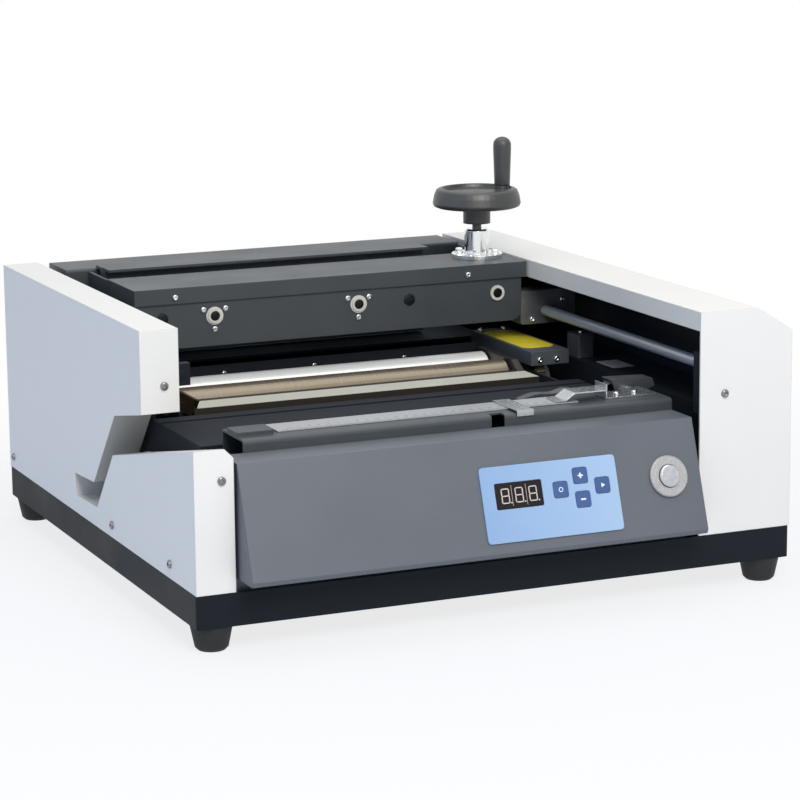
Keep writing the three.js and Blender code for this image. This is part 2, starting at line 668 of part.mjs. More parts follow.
function leverBracket() {
  const toe = rulerTop + seat;
  const folds = [
    [bracketLeft, toe],
    [bracketLeft + bracket.toe, toe],
    [bracketLeft + bracket.toe + bracket.ramp, toe + bracket.rise],
    [bracketStep, toe + bracket.rise],
    [bracketStep, apronSeat],
    [bracketRight, apronSeat],
  ];
  const width = [bracketFront, bracketFront + bracket.width];
  const saddle = plateY(strip(folds, bracket.gauge), width);
  const tab = box([bracketStep, bracketStep + bracket.gauge], width, [apronSeat, apronSeat + bracket.tab]);
  const tailX = [bracketRight - bracket.tail, bracketRight];
  const top = apronSeat + bracket.gauge;
  const tail = box(tailX, [bracketFront, flangeBack], [apronSeat, top]);
  const flange = box(tailX, [flangeBack - bracket.gauge, flangeBack], [apronSeat - bracket.drop, top]);
  const rootY = flangeBack - bracket.gauge / 2;
  const headFront = leverBack + seat;
  const headBack = headFront + pivot.headLong;
  const pin = rodY(pivot.radius, pivotX, [rootY, (headFront + headBack) / 2], pivotZ);
  const neck = rodY(pivot.head, pivotX, [rootY, leverFront - seat], pivotZ);
  const head = rodY(pivot.head, pivotX, [headFront, headBack], pivotZ);
  add("lever_bracket", join(saddle, tab, tail, flange, pin, neck, head), "zinc");
}

// Hold-down lever: a channel on the pivot pin, with a wave spring that lies over the nip
function holdDownLever() {
  const crown = [pivotX - lever.left, pivotZ + lever.high];
  const tip = [pivotX + lever.right, crown[1] - lever.fall];
  const side = [
    [crown[0] + lever.heel, pivotZ + lever.heelHigh],
    [pivotX + lever.chin, pivotZ - lever.chinDrop],
    [tip[0] + lever.nose, tip[1] - lever.noseDrop],
    tip,
    crown,
  ];
  const [, , noseInner, tipInner, crownInner] = inset(side, lever.gauge);
  const below = pivotZ - lever.chinDrop - overrun;
  const beyond = crown[0] - overrun;
  const room = [
    [beyond, below],
    [noseInner[0], below],
    noseInner,
    tipInner,
    crownInner,
    [beyond, crownInner[1]],
  ];
  const channel = plateY(side, [leverFront, leverBack]);
  const gap = plateY(room, [leverFront + lever.gauge, leverBack - lever.gauge]);
  const bore = rodY(pivot.radius + play, pivotX, [leverFront - overrun, leverBack + overrun], pivotZ);
  const rootX = crown[0] + spring.root;
  const low = crown[1] - lever.gauge - spring.rise;
  const wave = springShares.map(([along, rise]) => {
    return new THREE.Vector2(rootX - along * spring.length, low + rise * spring.rise);
  });
  const line = new THREE.SplineCurve(wave.reverse()).getPoints(waveSteps).map(({ x, y }) => [x, y]);
  const middle = (leverFront + leverBack) / 2;
  const leaf = plateY(strip(line, spring.gauge), [middle - spring.width / 2, middle + spring.width / 2]);
  const root = box(
    [crown[0] + lever.gauge, rootX + spring.gauge],
    [leverFront + lever.gauge / 2, leverBack - lever.gauge / 2],
    [crown[1] - lever.gauge - spring.rootHigh, crown[1] - lever.gauge / 2 - lever.fall / 8],
  );
  add("hold_down_lever", join(cut(channel, gap, bore), root, leaf), "grey");
}

// Cover nip: a front plate that closes on a rear bar
function coverNip() {
  const leftX = bayLeft + nip.inset;
  const skirtX = [bayLeft + nip.skirtInset, rightFrameX - nip.inset];
  const skirts = [[nipFront, nipFront + sheet], [nipBack - sheet, nipBack]];
  const plate = box([leftX, bayRight - nip.rightGap], [nipFront, nipBack], [nipLow, nip.top]);
  const folded = skirts.map((deep) => box(skirtX, deep, [nipLow - nip.skirt, nip.top - sheet / 2]));
  add("front_nip_plate", join(plate, ...folded), "slate");
  const barX = [leftX, bayRight - nipBar.rightGap];
  const bar = box(barX, [barFront, barFront + nipBar.depth], [nipLow, nip.top]);
  const leg = box(skirtX, [barFront, barFront + sheet], [nip.top - nipBar.leg, nip.top - sheet / 2]);
  add("rear_nip_bar", join(bar, leg), "slate");
}

function leftSide() {
  const wall = [
    [leftFrame.front, floorTop],
    [frameBack, floorTop],
    [frameBack, leftFrame.top],
    [leftFrame.armFront, leftFrame.top],
    [leftFrame.armFront, leftFrame.sill],
    [leftFrame.armBack, leftFrame.sill],
    [leftFrame.armBack, frameTop],
    [leftFrame.front, frameTop],
  ];
  const ledge = box(
    [leftFrameX - shelf.outward, leftFrameInner + shelf.inward],
    [leftFrame.front, apronBack],
    [frameTop - sheet, frameTop],
  );
  const earX = [leftFrameX + leftFrame.gauge / 2, leftShaftX + ear.width / 2];
  const earZ = [shaft.z - ear.low, shaft.z + ear.high];
  const earFront = leftFrame.armFront + ear.front;
  const ears = [
    box(earX, [earFront, earFront + ear.depth], earZ),
    box(earX, [frameBack - ear.depth, frameBack], earZ),
  ];
  const bore = rodY(shaft.radius + play, leftShaftX, [0, base.depth], shaft.z);
  add("left_frame", cut(join(plateX(wall, [leftFrameX, leftFrameInner]), ledge, ...ears), bore), "slate");
  add("left_shaft", rodY(shaft.radius, leftShaftX, [earFront, frameBack], shaft.z), "chrome");
}

const gearCoverY = [humpFront - gearCover.front, humpBack + gearCover.rear];
const jogRoom = panelBack - sheet - gearCoverY[1];
const jogY = [gearCoverY[1] + jogShares.front * jogRoom, gearCoverY[1] + jogShares.back * jogRoom];

function rightSide() {
  const jogSeat = jog.top - jog.gauge - seat;
  const hump = frameTop + rightFrame.hump;
  const wall = [
    [rightFrame.front, floorTop],
    [frameBack, floorTop],
    [frameBack, frameTop],
    [jogY[1], frameTop],
    [jogY[1], jogSeat],
    [jogY[0], jogSeat],
    [jogY[0], frameTop],
    [humpBack, frameTop],
    [humpBack, hump],
    [humpFront, hump],
    [humpFront, frameTop],
    [rightFrame.front, frameTop],
  ];
  const through = [rightFrameX - overrun, rightFrameInner + overrun];
  const bores = [roller.frontY, rearRollerY].map((y) => rodX(roller.journal + play, through, y, roller.z));
  add("right_frame", cut(plateX(wall, [rightFrameX, rightFrameInner]), ...bores), "slate");
}

// Bed under the right cover, with the posts of the right guide shaft
function rightBed() {
  const whole = box([bedLeft, bedRight], [bed.front, bedBack], [floorTop, bed.top]);
  const under = box(
    [bedLeft + bed.gauge, bedRight - bed.gauge],
    [bed.front - overrun, bedBack + overrun],
    [floorTop - overrun, bed.top - bed.gauge],
  );
  const postX = [rightShaftX - post.left, rightShaftX + post.right];
  const postZ = [bed.top - bed.gauge / 2, shaft.z + post.high];
  const shaftFront = bed.front + post.front;
  const shaftBack = bedBack - post.rear;
  const posts = [
    box(postX, [shaftFront, shaftFront + post.depth], postZ),
    box(postX, [shaftBack - post.rearDepth, shaftBack], postZ),
  ];
  const bore = rodY(shaft.radius + play, rightShaftX, [0, base.depth], shaft.z);
  add("right_bed", cut(join(cut(whole, under), ...posts), bore), "slate");
  add("right_shaft", rodY(shaft.radius, rightShaftX, [shaftFront, shaftBack], shaft.z), "chrome");
  const stopX = [bedLeft + stopBlock.inset, bedLeft + stopBlock.inset + stopBlock.width];
  const stopY = [stopBlock.front, stopBlock.front + stopBlock.depth];
  const low = bed.top + seat;
  const stopper = plateZ(rectangle(stopX, stopY, stopBlock.corner), [low, low + stopBlock.height]);
  add("stop_block", stopper, "aluminium");
}

// Glue tank: a trough round two rollers, between end walls that stand on the base
function glueTank() {
  const section = [
    [tankFront, tank.low + tank.bevel],
    [tankFront + tank.bevel, tank.low],
    [tankBack - tank.bevel, tank.low],
    [tankBack, tank.low + tank.bevel],
    [tankBack, tank.top],
    [tankFront, tank.top],
  ];
  const inner = [tankLeft + tank.endWall, tankRight - tank.endWall];
  const trough = plateX(section, [inner[0] - tank.endWall / 2, inner[1] + tank.endWall / 2]);
  const axes = [roller.frontY, rearRollerY];
  const wells = axes.map((y) => rodX(roller.radius + tank.film, inner, y, roller.z, wheelSides));
  const mouth = box(inner, [troughFront, troughBack], [roller.z, tank.top + overrun]);
  const middle = (roller.frontY + rearRollerY) / 2;
  const crest = box(
    inner,
    [middle - ridge.depth / 2, middle + ridge.depth / 2],
    [roller.z - ridge.drop, roller.z + overrun],
  );
  const leftEnd = plateX(rectangle([tankFront, tankBack], [floorTop, tank.top]), [tankLeft, inner[0]]);
  const rightWall = [
    [tankFront, floorTop],
    [tankBack, floorTop],
    [tankBack, tank.top],
    [tankBack - lug.inset, tank.top + lug.height],
    [tankFront + lug.inset, tank.top + lug.height],
    [tankFront, tank.top],
  ];
  const rightEnd = plateX(rightWall, [inner[1], tankRight]);
  const through = [tankLeft - overrun, tankRight + overrun];
  const bores = axes.map((y) => rodX(roller.journal + play, through, y, roller.z));
  const hollow = cut(trough, ...wells, mouth, crest);
  add("glue_tank", cut(join(hollow, leftEnd, rightEnd), ...bores), "slate");

  const heaterX = [inner[0] + heater.endInset, inner[1] - heater.endInset];
  const heaterY = [tankFront + heater.inset, tankBack - heater.inset];
  const heaterTop = tank.low - seat;
  add("tank_heater", box(heaterX, heaterY, [heaterTop - heater.thickness, heaterTop]), "aluminium");
  const plateDeep = [tankBack + seat, tankBack + seat + tankPlate.gauge];
  add("tank_rear_plate", box([tankLeft, tankRight], plateDeep, [tankPlate.low, tankPlate.top]), "slate");
}

function scraperBar() {
  const back = tankFront - seat;
  const front = back - scraper.depth;
  const low = tank.top - scraper.lip;
  const folds = [[back, tank.top], [front, tank.top], [front, low]];
  const left = tankLeft + tank.endWall - scraper.gauge;
  const blade = plateX(strip(folds, scraper.gauge), [left, tankRight + scraper.rightOver]);
  const guardTop = tank.top + scraper.guardRise;
  const cheek = [
    [front - scraper.guardFront, guardTop],
    [front + scraper.lip, low],
    [back, low],
    [back, tank.top + seat],
    [back + scraper.guardBack, tank.top + seat],
    [back + scraper.guardBack, guardTop],
  ];
  add("scraper_bar", join(blade, plateX(cheek, [left, left + scraper.gauge])), "steel");
}

// Rollers with their gears, the pinion and its motor
function rollerTrain() {
  const drumX = [tankLeft + tank.endWall + roller.endGap, tankRight - tank.endWall - roller.endGap];
  const journalX = [tankLeft - roller.overhang, gearRight - seat];
  const wheelOf = (teeth, phase, y, z) => {
    const shape = gearShape({ ...gear, teeth, phase, shares: toothShares });
    return extruded(shape, gear.width).applyMatrix4(towardsX).translate(gearLeft, y, z);
  };
  const rearPhase = meshPhase(0, gear.teeth, 0, gear.teeth);
  const rollers = {
    front_roller: [roller.frontY, 0, "bronze"],
    rear_roller: [rearRollerY, rearPhase, "steel"],
  };
  for (const [name, [y, phase, paint]] of Object.entries(rollers)) {
    const drum = rodX(roller.radius, drumX, y, roller.z, wheelSides);
    const journal = rodX(roller.journal, journalX, y, roller.z);
    add(name, join(drum, journal, wheelOf(gear.teeth, phase, y, roller.z)), paint);
  }
  const pinionPhase = meshPhase(-Math.PI / 4, gear.teeth, rearPhase, pinionTeeth);
  const motorLeft = gearRight + motor.fromGear;
  const hub = rodX(motor.hub, [gearRight - overrun, motorLeft - seat], motorY, motorZ);
  add("motor_pinion", join(wheelOf(pinionTeeth, pinionPhase, motorY, motorZ), hub), "steel");
  const can = rodX(motor.radius, [motorLeft, motorLeft + motor.length], motorY, motorZ, wheelSides);
  const stands = motorPostShares.map(([along, up]) => {
    const [y, z] = [motorY + along * motor.radius, motorZ + up * motor.radius];
    return rodX(motor.post, [rightFrameInner + seat, motorLeft + overrun], y, z);
  });
  add("gear_motor", join(can, ...stands), "aluminium");
}

function gearCoverShell() {
  const left = rightFrameX - gearCover.left;
  const top = frameTop + rightFrame.hump + seat + sheet;
  const across = [left, left + gearCover.width];
  const deep = gearCoverY;
  const hollow = box(
    [across[0] + sheet, across[1] - sheet],
    [deep[0] + sheet, deep[1] - sheet],
    [top - gearCover.height - overrun, top - sheet],
  );
  add("gear_cover", cut(box(across, deep, [top - gearCover.height, top]), hollow), "slate");
}

function joggingPlate() {
  const left = leftFrameInner + seat;
  const folds = [[bayRight - jog.rightGap, jog.top], [left, jog.top], [left, jog.top - jog.leg]];
  add("jogging_plate", plateY(strip(folds, jog.gauge), jogY), "slate");
}

// Clamp carriage
function carriageBody() {
  const corners = [
    [bodyLeft, body.low, body.corner],
    [bodyRight, body.low, body.corner],
    [bodyRight, bodyTop],
    [bodyLeft, bodyTop],
  ];
  const front = plateY(corners, [bodyFront, bodyInner]);
  const side = rectangle([bodyFront, jawBack], [body.low + body.corner, bodyTop]);
  const sides = [[bodyLeft, bodyLeft + body.gauge], [bodyRight - body.gauge, bodyRight]];
  const walls = sides.map((limits) => plateX(side, limits));
  const through = [bodyFront - overrun, bodyInner + overrun];
  const journals = [screwPlaces.left, screwPlaces.right, wheelX];
  const bores = journals.map((x) => rodY(drive.radius + play, x, through, drive.z));
  const rodBores = rodPlaces.map((x) => rodY(guideRod.radius + play, x, through, drive.z));
  add("carriage_body", cut(join(front, ...walls), ...bores, ...rodBores), "slate");
}

function carriageLid() {
  const under = lid.top - sheet;
  const low = under - lid.flange;
  const whole = box([lidLeft, lidRight], [lidFront, lidBack], [low, lid.top]);
  const room = box(
    [lidLeft + sheet, lidRight - sheet],
    [lidFront + sheet, lidBack - sheet],
    [low - overrun, under],
  );
  const rearY = [lidBack - sheet - overrun, lidBack + overrun];
  const rear = box([lidLeft - overrun, lidRight + overrun], rearY, [low - overrun, under - lid.rearFlange]);
  const sides = [
    [lidLeft + sheet, bodyLeft + body.gauge + play],
    [bodyRight - body.gauge - play, lidRight - sheet],
  ];
  const notches = sides.map((limits) => box(limits, rearY, [low - overrun, under]));
  const bore = rodZ(drive.radius + play, wheelX, wheelY, [under - overrun, lid.top + overrun]);
  add("carriage_lid", cut(whole, room, rear, ...notches, bore), "slate");
  const disc = [
    [0, lid.top + seat],
    [wheelFlange.radius, lid.top + seat],
    [wheelFlange.radius, lid.top + wheelFlange.thickness],
    [wheelFlange.boss, lid.top + wheelFlange.thickness],
    [wheelFlange.boss, wheelFlange.bossTop - wheelFlange.round],
    [wheelFlange.boss - wheelFlange.round, wheelFlange.bossTop],
    [0, wheelFlange.bossTop],
  ];
  const boreZ = [lid.top - overrun, wheelFlange.bossTop + overrun];
  const shaftBore = rodZ(drive.radius + play, wheelX, wheelY, boreZ);
  add("wheel_flange", cut(turned(disc, wheelX, wheelY, wheelSides), shaftBore), "chrome");
}

// Rear box, and the fixed jaw in front of it
function rearBoxAndJaw() {
  const across = [bayLeft + rearBox.leftGap, boxRight];
  const section = rectangle([boxFront, boxBack], [rearBox.low, rearBox.top], rearBox.corner);
  add("rear_box", plateX(section, across), "slate");
  const flangeLow = rearBox.top + seat;
  const flangeTop = flangeLow + jaw.flange;
  const length = [jawLeft, jawRight];
  const plate = box(length, [rearJawFront, rearJawFront + jaw.thickness], [jaw.low, flangeTop]);
  const flange = box(length, [rearJawFront, boxFront], [flangeLow, flangeTop]);
  const rib = box(
    [jawLeft + jaw.rib, jawRight - jaw.rib],
    [rearJawFront + jaw.thickness / 2, jawBack],
    [rearBox.low, rearBox.low + jaw.ribHigh],
  );
  add("rear_jaw", join(plate, flange, rib), "slate");
}

// Front jaw: its sleeves run on the lead screws, its guide rods through the body's front plate
function frontJaw() {
  const top = rearBox.top + jaw.rise;
  const middle = (frontJawFront + frontJawBack) / 2;
  const length = [jawLeft, jawRight];
  const plate = box(length, [frontJawFront, frontJawBack], [jaw.low, top]);
  const lip = box(length, [frontJawBack - jaw.flangeFront, frontJawBack], [top - jaw.flange, top]);
  const sleeveFront = frontJawFront - sleeve.length;
  const screws = Object.values(screwPlaces);
  const sleeves = screws.map((x) => rodY(sleeve.radius, x, [sleeveFront, middle], drive.z));
  const rodFront = bodyFront - guideRod.nose;
  const rods = rodPlaces.map((x) => rodY(guideRod.radius, x, [rodFront, middle], drive.z));
  const boreY = [sleeveFront - overrun, frontJawBack - sleeve.floor];
  const bores = screws.map((x) => rodY(drive.radius + play, x, boreY, drive.z));
  add("front_jaw", cut(join(plate, lip, ...sleeves, ...rods), ...bores), "slate");
}

// A bevel gear whose cone has its tip at the origin and opens towards +Z
function mitreGear(phase) {
  const made = extruded(gearShape({ ...mitre, phase, shares: mitreShares }), 1);
  const at = made.attributes.position;
  for (let i = 0; i < at.count; i += 1) {
    const scale = mitreShares.small + (1 - mitreShares.small) * at.getZ(i);
    at.setXYZ(i, at.getX(i) * scale, at.getY(i) * scale, mitreRadius * scale);
  }
  return made;
}

const mitreMiddle = (mitreRadius * (1 + mitreShares.small)) / 2;

// Drive: mitre gears, a shaft, a belt and two lead screws
function clampDrive() {
  const journalFront = bodyFront - drive.nose;
  const pulleyY = [pulleyFront, pulleyFront + pulley.width];
  const screwBack = frontJawBack - sleeve.floor - jaw.opening - drive.endGap;
  const pulleyAt = (x) => rodY(pulley.radius, x, pulleyY, drive.z, wheelSides);
  const bearingY = [bodyFront - seat - bushing.height, bodyFront - seat];
  for (const [side, x] of Object.entries(screwPlaces)) {
    const stem = rodY(drive.radius, x, [journalFront, screwBack], drive.z);
    add(`lead_screw_${side}`, join(stem, pulleyAt(x)), "steel");
    const collar = rodY(bushing.radius, x, bearingY, drive.z);
    const rim = rodY(bushing.flange, x, [bearingY[1] - bushing.flangeHeight, bearingY[1]], drive.z);
    const bore = rodY(drive.radius + play, x, [bearingY[0] - overrun, bearingY[1] + overrun], drive.z);
    add(`screw_bearing_${side}`, cut(join(collar, rim), bore), "pale");
  }
  const gapPhase = Math.PI / 2 + Math.PI / mitre.teeth;
  const cone = mitreGear(gapPhase).rotateX(Math.PI / 2).translate(wheelX, wheelY, drive.z);
  const stem = rodY(drive.radius, wheelX, [journalFront, wheelY - mitreMiddle], drive.z);
  add("drive_shaft", join(stem, pulleyAt(wheelX), cone), "steel");
  const ringY = [bodyFront - seat - shaftRing.height, bodyFront - seat];
  const ringBore = rodY(drive.radius + play, wheelX, [ringY[0] - overrun, ringY[1] + overrun], drive.z);
  add("shaft_bearing", cut(rodY(shaftRing.radius, wheelX, ringY, drive.z), ringBore), "steel");

  const ends = [screwPlaces.left, wheelX];
  const loop = (radius, deep) => {
    const round = ends.map((x) => rodY(radius, x, deep, drive.z, wheelSides));
    return join(box(ends, deep, [drive.z - radius, drive.z + radius]), ...round);
  };
  const inner = pulley.radius + seat;
  const beltY = [pulleyY[0] + belt.edge, pulleyY[1] - belt.edge];
  const through = [beltY[0] - overrun, beltY[1] + overrun];
  add("drive_belt", cut(loop(inner + belt.thickness, beltY), loop(inner, through)), "black");
}

// Sliders that carry the carriage on its shafts
function sliders() {
  const bore = (x, deep) => rodY(shaft.radius + play, x, [deep[0] - overrun, deep[1] + overrun], shaft.z);
  const height = [shaft.z - slider.low, shaft.z + slider.high];
  const front = bodyFront + slider.fromPlate;
  const frontY = [front, front + slider.width];
  const frontX = [bodyRight + seat, rightShaftX + slider.reach];
  const frontBlock = plateY(rectangle(frontX, height, slider.corner), frontY);
  add("front_slider", cut(frontBlock, bore(rightShaftX, frontY)), "slate");
  const rearY = [boxFront + rearSlider.fromBox, boxFront + rearSlider.fromBox + slider.width];
  const rearX = [boxRight + seat, rightShaftX + rearSlider.reach];
  const wing = box([rearX[0], rearX[0] + rearSlider.wing], rearY, [height[0], rearSlider.wingTop]);
  add("rear_slider", cut(join(box(rearX, rearY, height), wing), bore(rightShaftX, rearY)), "slate");
  const leftY = [jawBack - leftSlider.back - leftSlider.depth, jawBack - leftSlider.back];
  const leftX = [leftShaftX - leftSlider.reach, bodyLeft - seat];
  const leftBlock = box(leftX, leftY, [shaft.z - leftSlider.low, shaft.z + leftSlider.high]);
  add("left_slider", cut(leftBlock, bore(leftShaftX, leftY)), "slate");
}

// Handwheel with its shaft and mitre gear, and the turning grip
function handwheel() {
  const rimInner = wheel.radius - wheel.rim;
  const crest = wheel.top - wheel.rimShoulder;
  const profile = [
    [0, drive.z + mitreMiddle],
    [drive.radius, drive.z + mitreMiddle],
    [drive.radius, wheel.hubLow],
    [wheel.hub, wheel.hubLow],
    [wheel.hub, wheel.webLow],
    [wheel.hub + wheel.webRun, wheel.rimLow],
    [wheel.radius - wheel.rimRound, wheel.rimLow],
    [wheel.radius - wheel.rimRound * arcMiddle, wheel.rimLow + wheel.rimRound * arcMiddle],
    [wheel.radius, wheel.rimLow + wheel.rimRound],
    [wheel.radius - wheel.slope, wheel.rimShoulder],
    [wheel.radius - wheel.slope - crest * arcMiddle, wheel.top - crest * arcMiddle],
    [rimInner + wheel.rimRound, wheel.top - wheel.slope / 2],
    [rimInner, wheel.top],
    [rimInner - wheel.slope, wheel.dish],
    [wheel.cap + wheel.slope, wheel.dish],
    [wheel.cap, wheel.capTop - wheel.slope],
    [0, wheel.capTop],
  ];
  const disc = turned(profile, wheelX, wheelY, wheelSides);
  const cone = mitreGear(-Math.PI / 2).translate(wheelX, wheelY, drive.z);
  const [x, y] = [wheelX + crank.alongX, wheelY + crank.alongY];
  const boss = rodZ(crank.boss, x, y, [wheel.dish - sheet, wheel.top]);
  const stud = rodZ(crank.stud, x, y, [wheel.top - sheet, wheel.top + crank.studLong]);
  add("handwheel", join(disc, cone, boss, stud), "black");
  const gripLow = wheel.top + seat;
  const gripTop = gripLow + crank.length;
  const dome = Array.from({ length: domeSteps + 1 }, (_, i) => {
    const turn = ((i / domeSteps) * Math.PI) / 2;
    return [crank.swell * Math.cos(turn), gripTop - crank.dome * (1 - Math.sin(turn))];
  });
  const grip = [
    [0, gripLow],
    [crank.base, gripLow],
    [crank.swell, gripTop - crank.swellDrop],
    ...dome,
  ];
  const bore = rodZ(crank.stud + play, x, y, [gripLow - overrun, wheel.top + crank.studLong + play]);
  add("crank_grip", cut(turned(grip, x, y), bore), "black");
}

baseAndFeet();
leftCoverShell();
rightCoverShell();
backPanel();
powerInlet();
frontPanel();
controls();
apronAndRuler();
leverBracket();
holdDownLever();
coverNip();
leftSide();
rightSide();
rightBed();
glueTank();
scraperBar();
rollerTrain();
gearCoverShell();
joggingPlate();
carriageBody();
carriageLid();
rearBoxAndJaw();
frontJaw();
clampDrive();
sliders();
handwheel();

export default machine;
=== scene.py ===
import math

import bmesh
import bpy
from mathutils import Matrix, Vector


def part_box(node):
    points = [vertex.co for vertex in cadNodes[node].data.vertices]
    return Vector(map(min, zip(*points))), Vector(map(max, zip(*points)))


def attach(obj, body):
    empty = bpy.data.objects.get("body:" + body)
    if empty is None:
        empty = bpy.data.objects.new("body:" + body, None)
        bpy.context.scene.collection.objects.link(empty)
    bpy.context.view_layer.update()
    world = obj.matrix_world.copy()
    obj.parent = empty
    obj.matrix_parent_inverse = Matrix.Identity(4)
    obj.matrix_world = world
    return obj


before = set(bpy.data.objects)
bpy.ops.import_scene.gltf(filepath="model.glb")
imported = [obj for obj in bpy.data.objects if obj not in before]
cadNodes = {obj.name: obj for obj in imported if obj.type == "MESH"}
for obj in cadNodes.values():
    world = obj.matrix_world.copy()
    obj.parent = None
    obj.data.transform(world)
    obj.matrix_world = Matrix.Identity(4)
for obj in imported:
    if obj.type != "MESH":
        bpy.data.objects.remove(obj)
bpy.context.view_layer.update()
print("frame loaded:", len(cadNodes), "nodes")

mm = 0.001
directions = {
    "left": (-1, 0, 0), "right": (1, 0, 0), "front": (0, -1, 0), "rear": (0, 1, 0), "top": (0, 0, 1),
}

# the front panel leans back: its foot stands this far in front of its top edge, over this height
panelSlope = {"reach": 36, "height": 104.9}
panelLean = math.atan2(panelSlope["reach"], panelSlope["height"])
panelUp = Vector((0, math.sin(panelLean), math.cos(panelLean)))
panelOut = Vector((0, -math.cos(panelLean), math.sin(panelLean)))


def corners(node):
    low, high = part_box(node)
    return Vector(low), Vector(high)


def middle(node):
    low, high = corners(node)
    return (low + high) / 2


# a point on a side of a node's box, in millimetres across from its left or front edge and up from its foot;
# on the top, up counts back from the front edge
def onSide(node, side, across, up, deep=0):
    low, high = corners(node)
    out = Vector(directions[side])
    steps = {"left": (0, across, up), "right": (0, across, up), "top": (across, up, 0)}
    point = low + Vector(steps.get(side, (across, 0, up))) * mm
    for axis in range(3):
        if out[axis]:
            point[axis] = (high if out[axis] > 0 else low)[axis]
    return point - out * deep * mm


# camera, set where the photograph was taken from
view = {
    "lens": 129.5,
    "sensor": 36,
    "clipEnd": 100,
    "position": (-1.1642, -2.6989, 0.7585),
    "right": (0.9155, -0.4021, -0.0089),
    "down": (-0.0880, -0.1788, -0.9799),
}


def makeCamera():
    right = Vector(view["right"]).normalized()
    up = -Vector(view["down"])
    up = (up - up.dot(right) * right).normalized()
    turn = Matrix((right, up, right.cross(up))).transposed()
    bpy.ops.object.camera_add(location=view["position"], rotation=turn.to_euler())
    camera = bpy.context.object
    camera.data.lens = view["lens"]
    camera.data.sensor_width = view["sensor"]
    camera.data.clip_end = view["clipEnd"]
    bpy.context.scene.camera = camera


# a warm lamp in front, one above, and a weak blue one on the left, under a pale blue sky
studio = {
    "aim": (0, 0, 0.15),
    "skyTone": (0.62, 0.80, 1, 1),
    "skyStrength": 0.34,
    "backdropStrength": 1,
    "lights": {
        "keyLight": {"place": (-0.3, -2.1, 1.9), "size": 1.4, "power": 51, "tone": (1, 0.955, 0.895)},
        "topLight": {"place": (0.2, 0.3, 2.6), "size": 2.4, "power": 25, "tone": (1, 0.97, 0.925)},
        "leftLight": {"place": (-3.0, -0.2, 1.0), "size": 1.6, "power": 8, "tone": (0.22, 0.48, 1)},
    },
}


def makeLights():
    for name, light in studio["lights"].items():
        away = Vector(light["place"]) - Vector(studio["aim"])
        turn = away.to_track_quat("Z", "Y").to_euler()
        bpy.ops.object.light_add(type="AREA", location=light["place"], rotation=turn)
        lamp = bpy.context.object
        lamp.name = name
        lamp.data.size = light["size"]
        lamp.data.energy = light["power"]
        lamp.data.color = light["tone"]


def addMath(tree, operation, first, second):
    node = tree.nodes.new("ShaderNodeMath")
    node.operation = operation
    for socket, value in zip(node.inputs, (first, second)):
        if isinstance(value, (int, float)):
            socket.default_value = value
        else:
            tree.links.new(value, socket)
    return node.outputs["Value"]


# 1 for rays from the camera and for mirrored and clear ones, which see the white background
def seenRay(tree):
    rays = tree.nodes.new("ShaderNodeLightPath")
    mirrored = addMath(tree, "MAXIMUM", rays.outputs["Is Glossy Ray"], rays.outputs["Is Transmission Ray"])
    return addMath(tree, "MAXIMUM", rays.outputs["Is Camera Ray"], mirrored)


def makeSky():
    world = bpy.data.worlds.new("studioSky")
    bpy.context.scene.world = world
    world.use_nodes = True
    tree = world.node_tree
    tree.nodes.clear()
    output = tree.nodes.new("ShaderNodeOutputWorld")
    sky = tree.nodes.new("ShaderNodeBackground")
    sky.inputs["Color"].default_value = studio["skyTone"]
    sky.inputs["Strength"].default_value = studio["skyStrength"]
    backdrop = tree.nodes.new("ShaderNodeBackground")
    backdrop.inputs["Color"].default_value = (1, 1, 1, 1)
    backdrop.inputs["Strength"].default_value = studio["backdropStrength"]
    mix = tree.nodes.new("ShaderNodeMixShader")
    tree.links.new(seenRay(tree), mix.inputs["Fac"])
    tree.links.new(sky.outputs["Background"], mix.inputs[1])
    tree.links.new(backdrop.outputs["Background"], mix.inputs[2])
    tree.links.new(mix.outputs["Shader"], output.inputs["Surface"])


makeCamera()
makeLights()
makeSky()
bpy.context.scene.view_settings.view_transform = "Standard"
print("camera and light made")


def newGroup(name, inputs, outputs):
    group = bpy.data.node_groups.new(name, "ShaderNodeTree")
    for label, kind in inputs.items():
        group.interface.new_socket(label, in_out="INPUT", socket_type=kind)
    for label, kind in outputs.items():
        group.interface.new_socket(label, in_out="OUTPUT", socket_type=kind)
    return group, group.nodes.new("NodeGroupInput"), group.nodes.new("NodeGroupOutput")


def addNoise(tree, vector, scale, detail):
    noise = tree.nodes.new("ShaderNodeTexNoise")
    noise.inputs["Detail"].default_value = detail
    tree.links.new(vector, noise.inputs["Vector"])
    if isinstance(scale, (int, float)):
        noise.inputs["Scale"].default_value = scale
    else:
        tree.links.new(scale, noise.inputs["Scale"])
    return noise.outputs["Fac"]


def objectPlace(tree):
    return tree.nodes.new("ShaderNodeTexCoord").outputs["Object"]


def apartXyz(tree, vector):
    apart = tree.nodes.new("ShaderNodeSeparateXYZ")
    tree.links.new(vector, apart.inputs["Vector"])
    return apart.outputs


# mixes two tones, each a colour socket or three numbers
def blendTone(tree, share, first, second):
    mix = tree.nodes.new("ShaderNodeMix")
    mix.data_type = "RGBA"
    tree.links.new(share, mix.inputs["Factor"])
    for socket, value in (("A", first), ("B", second)):
        if isinstance(value, tuple):
            mix.inputs[socket].default_value = (*value, 1)
        else:
            tree.links.new(value, mix.inputs[socket])
    return mix.outputs["Result"]


# what the shared effects below have in common
effects = {
    "cloudDetail": 4, "cloudLow": 0.32, "cloudHigh": 0.68, "grainDetail": 1, "coarseSize": 0.13,
    "coarseHeight": 0.8, "lineDetail": 5, "edgeSamples": 4,
}


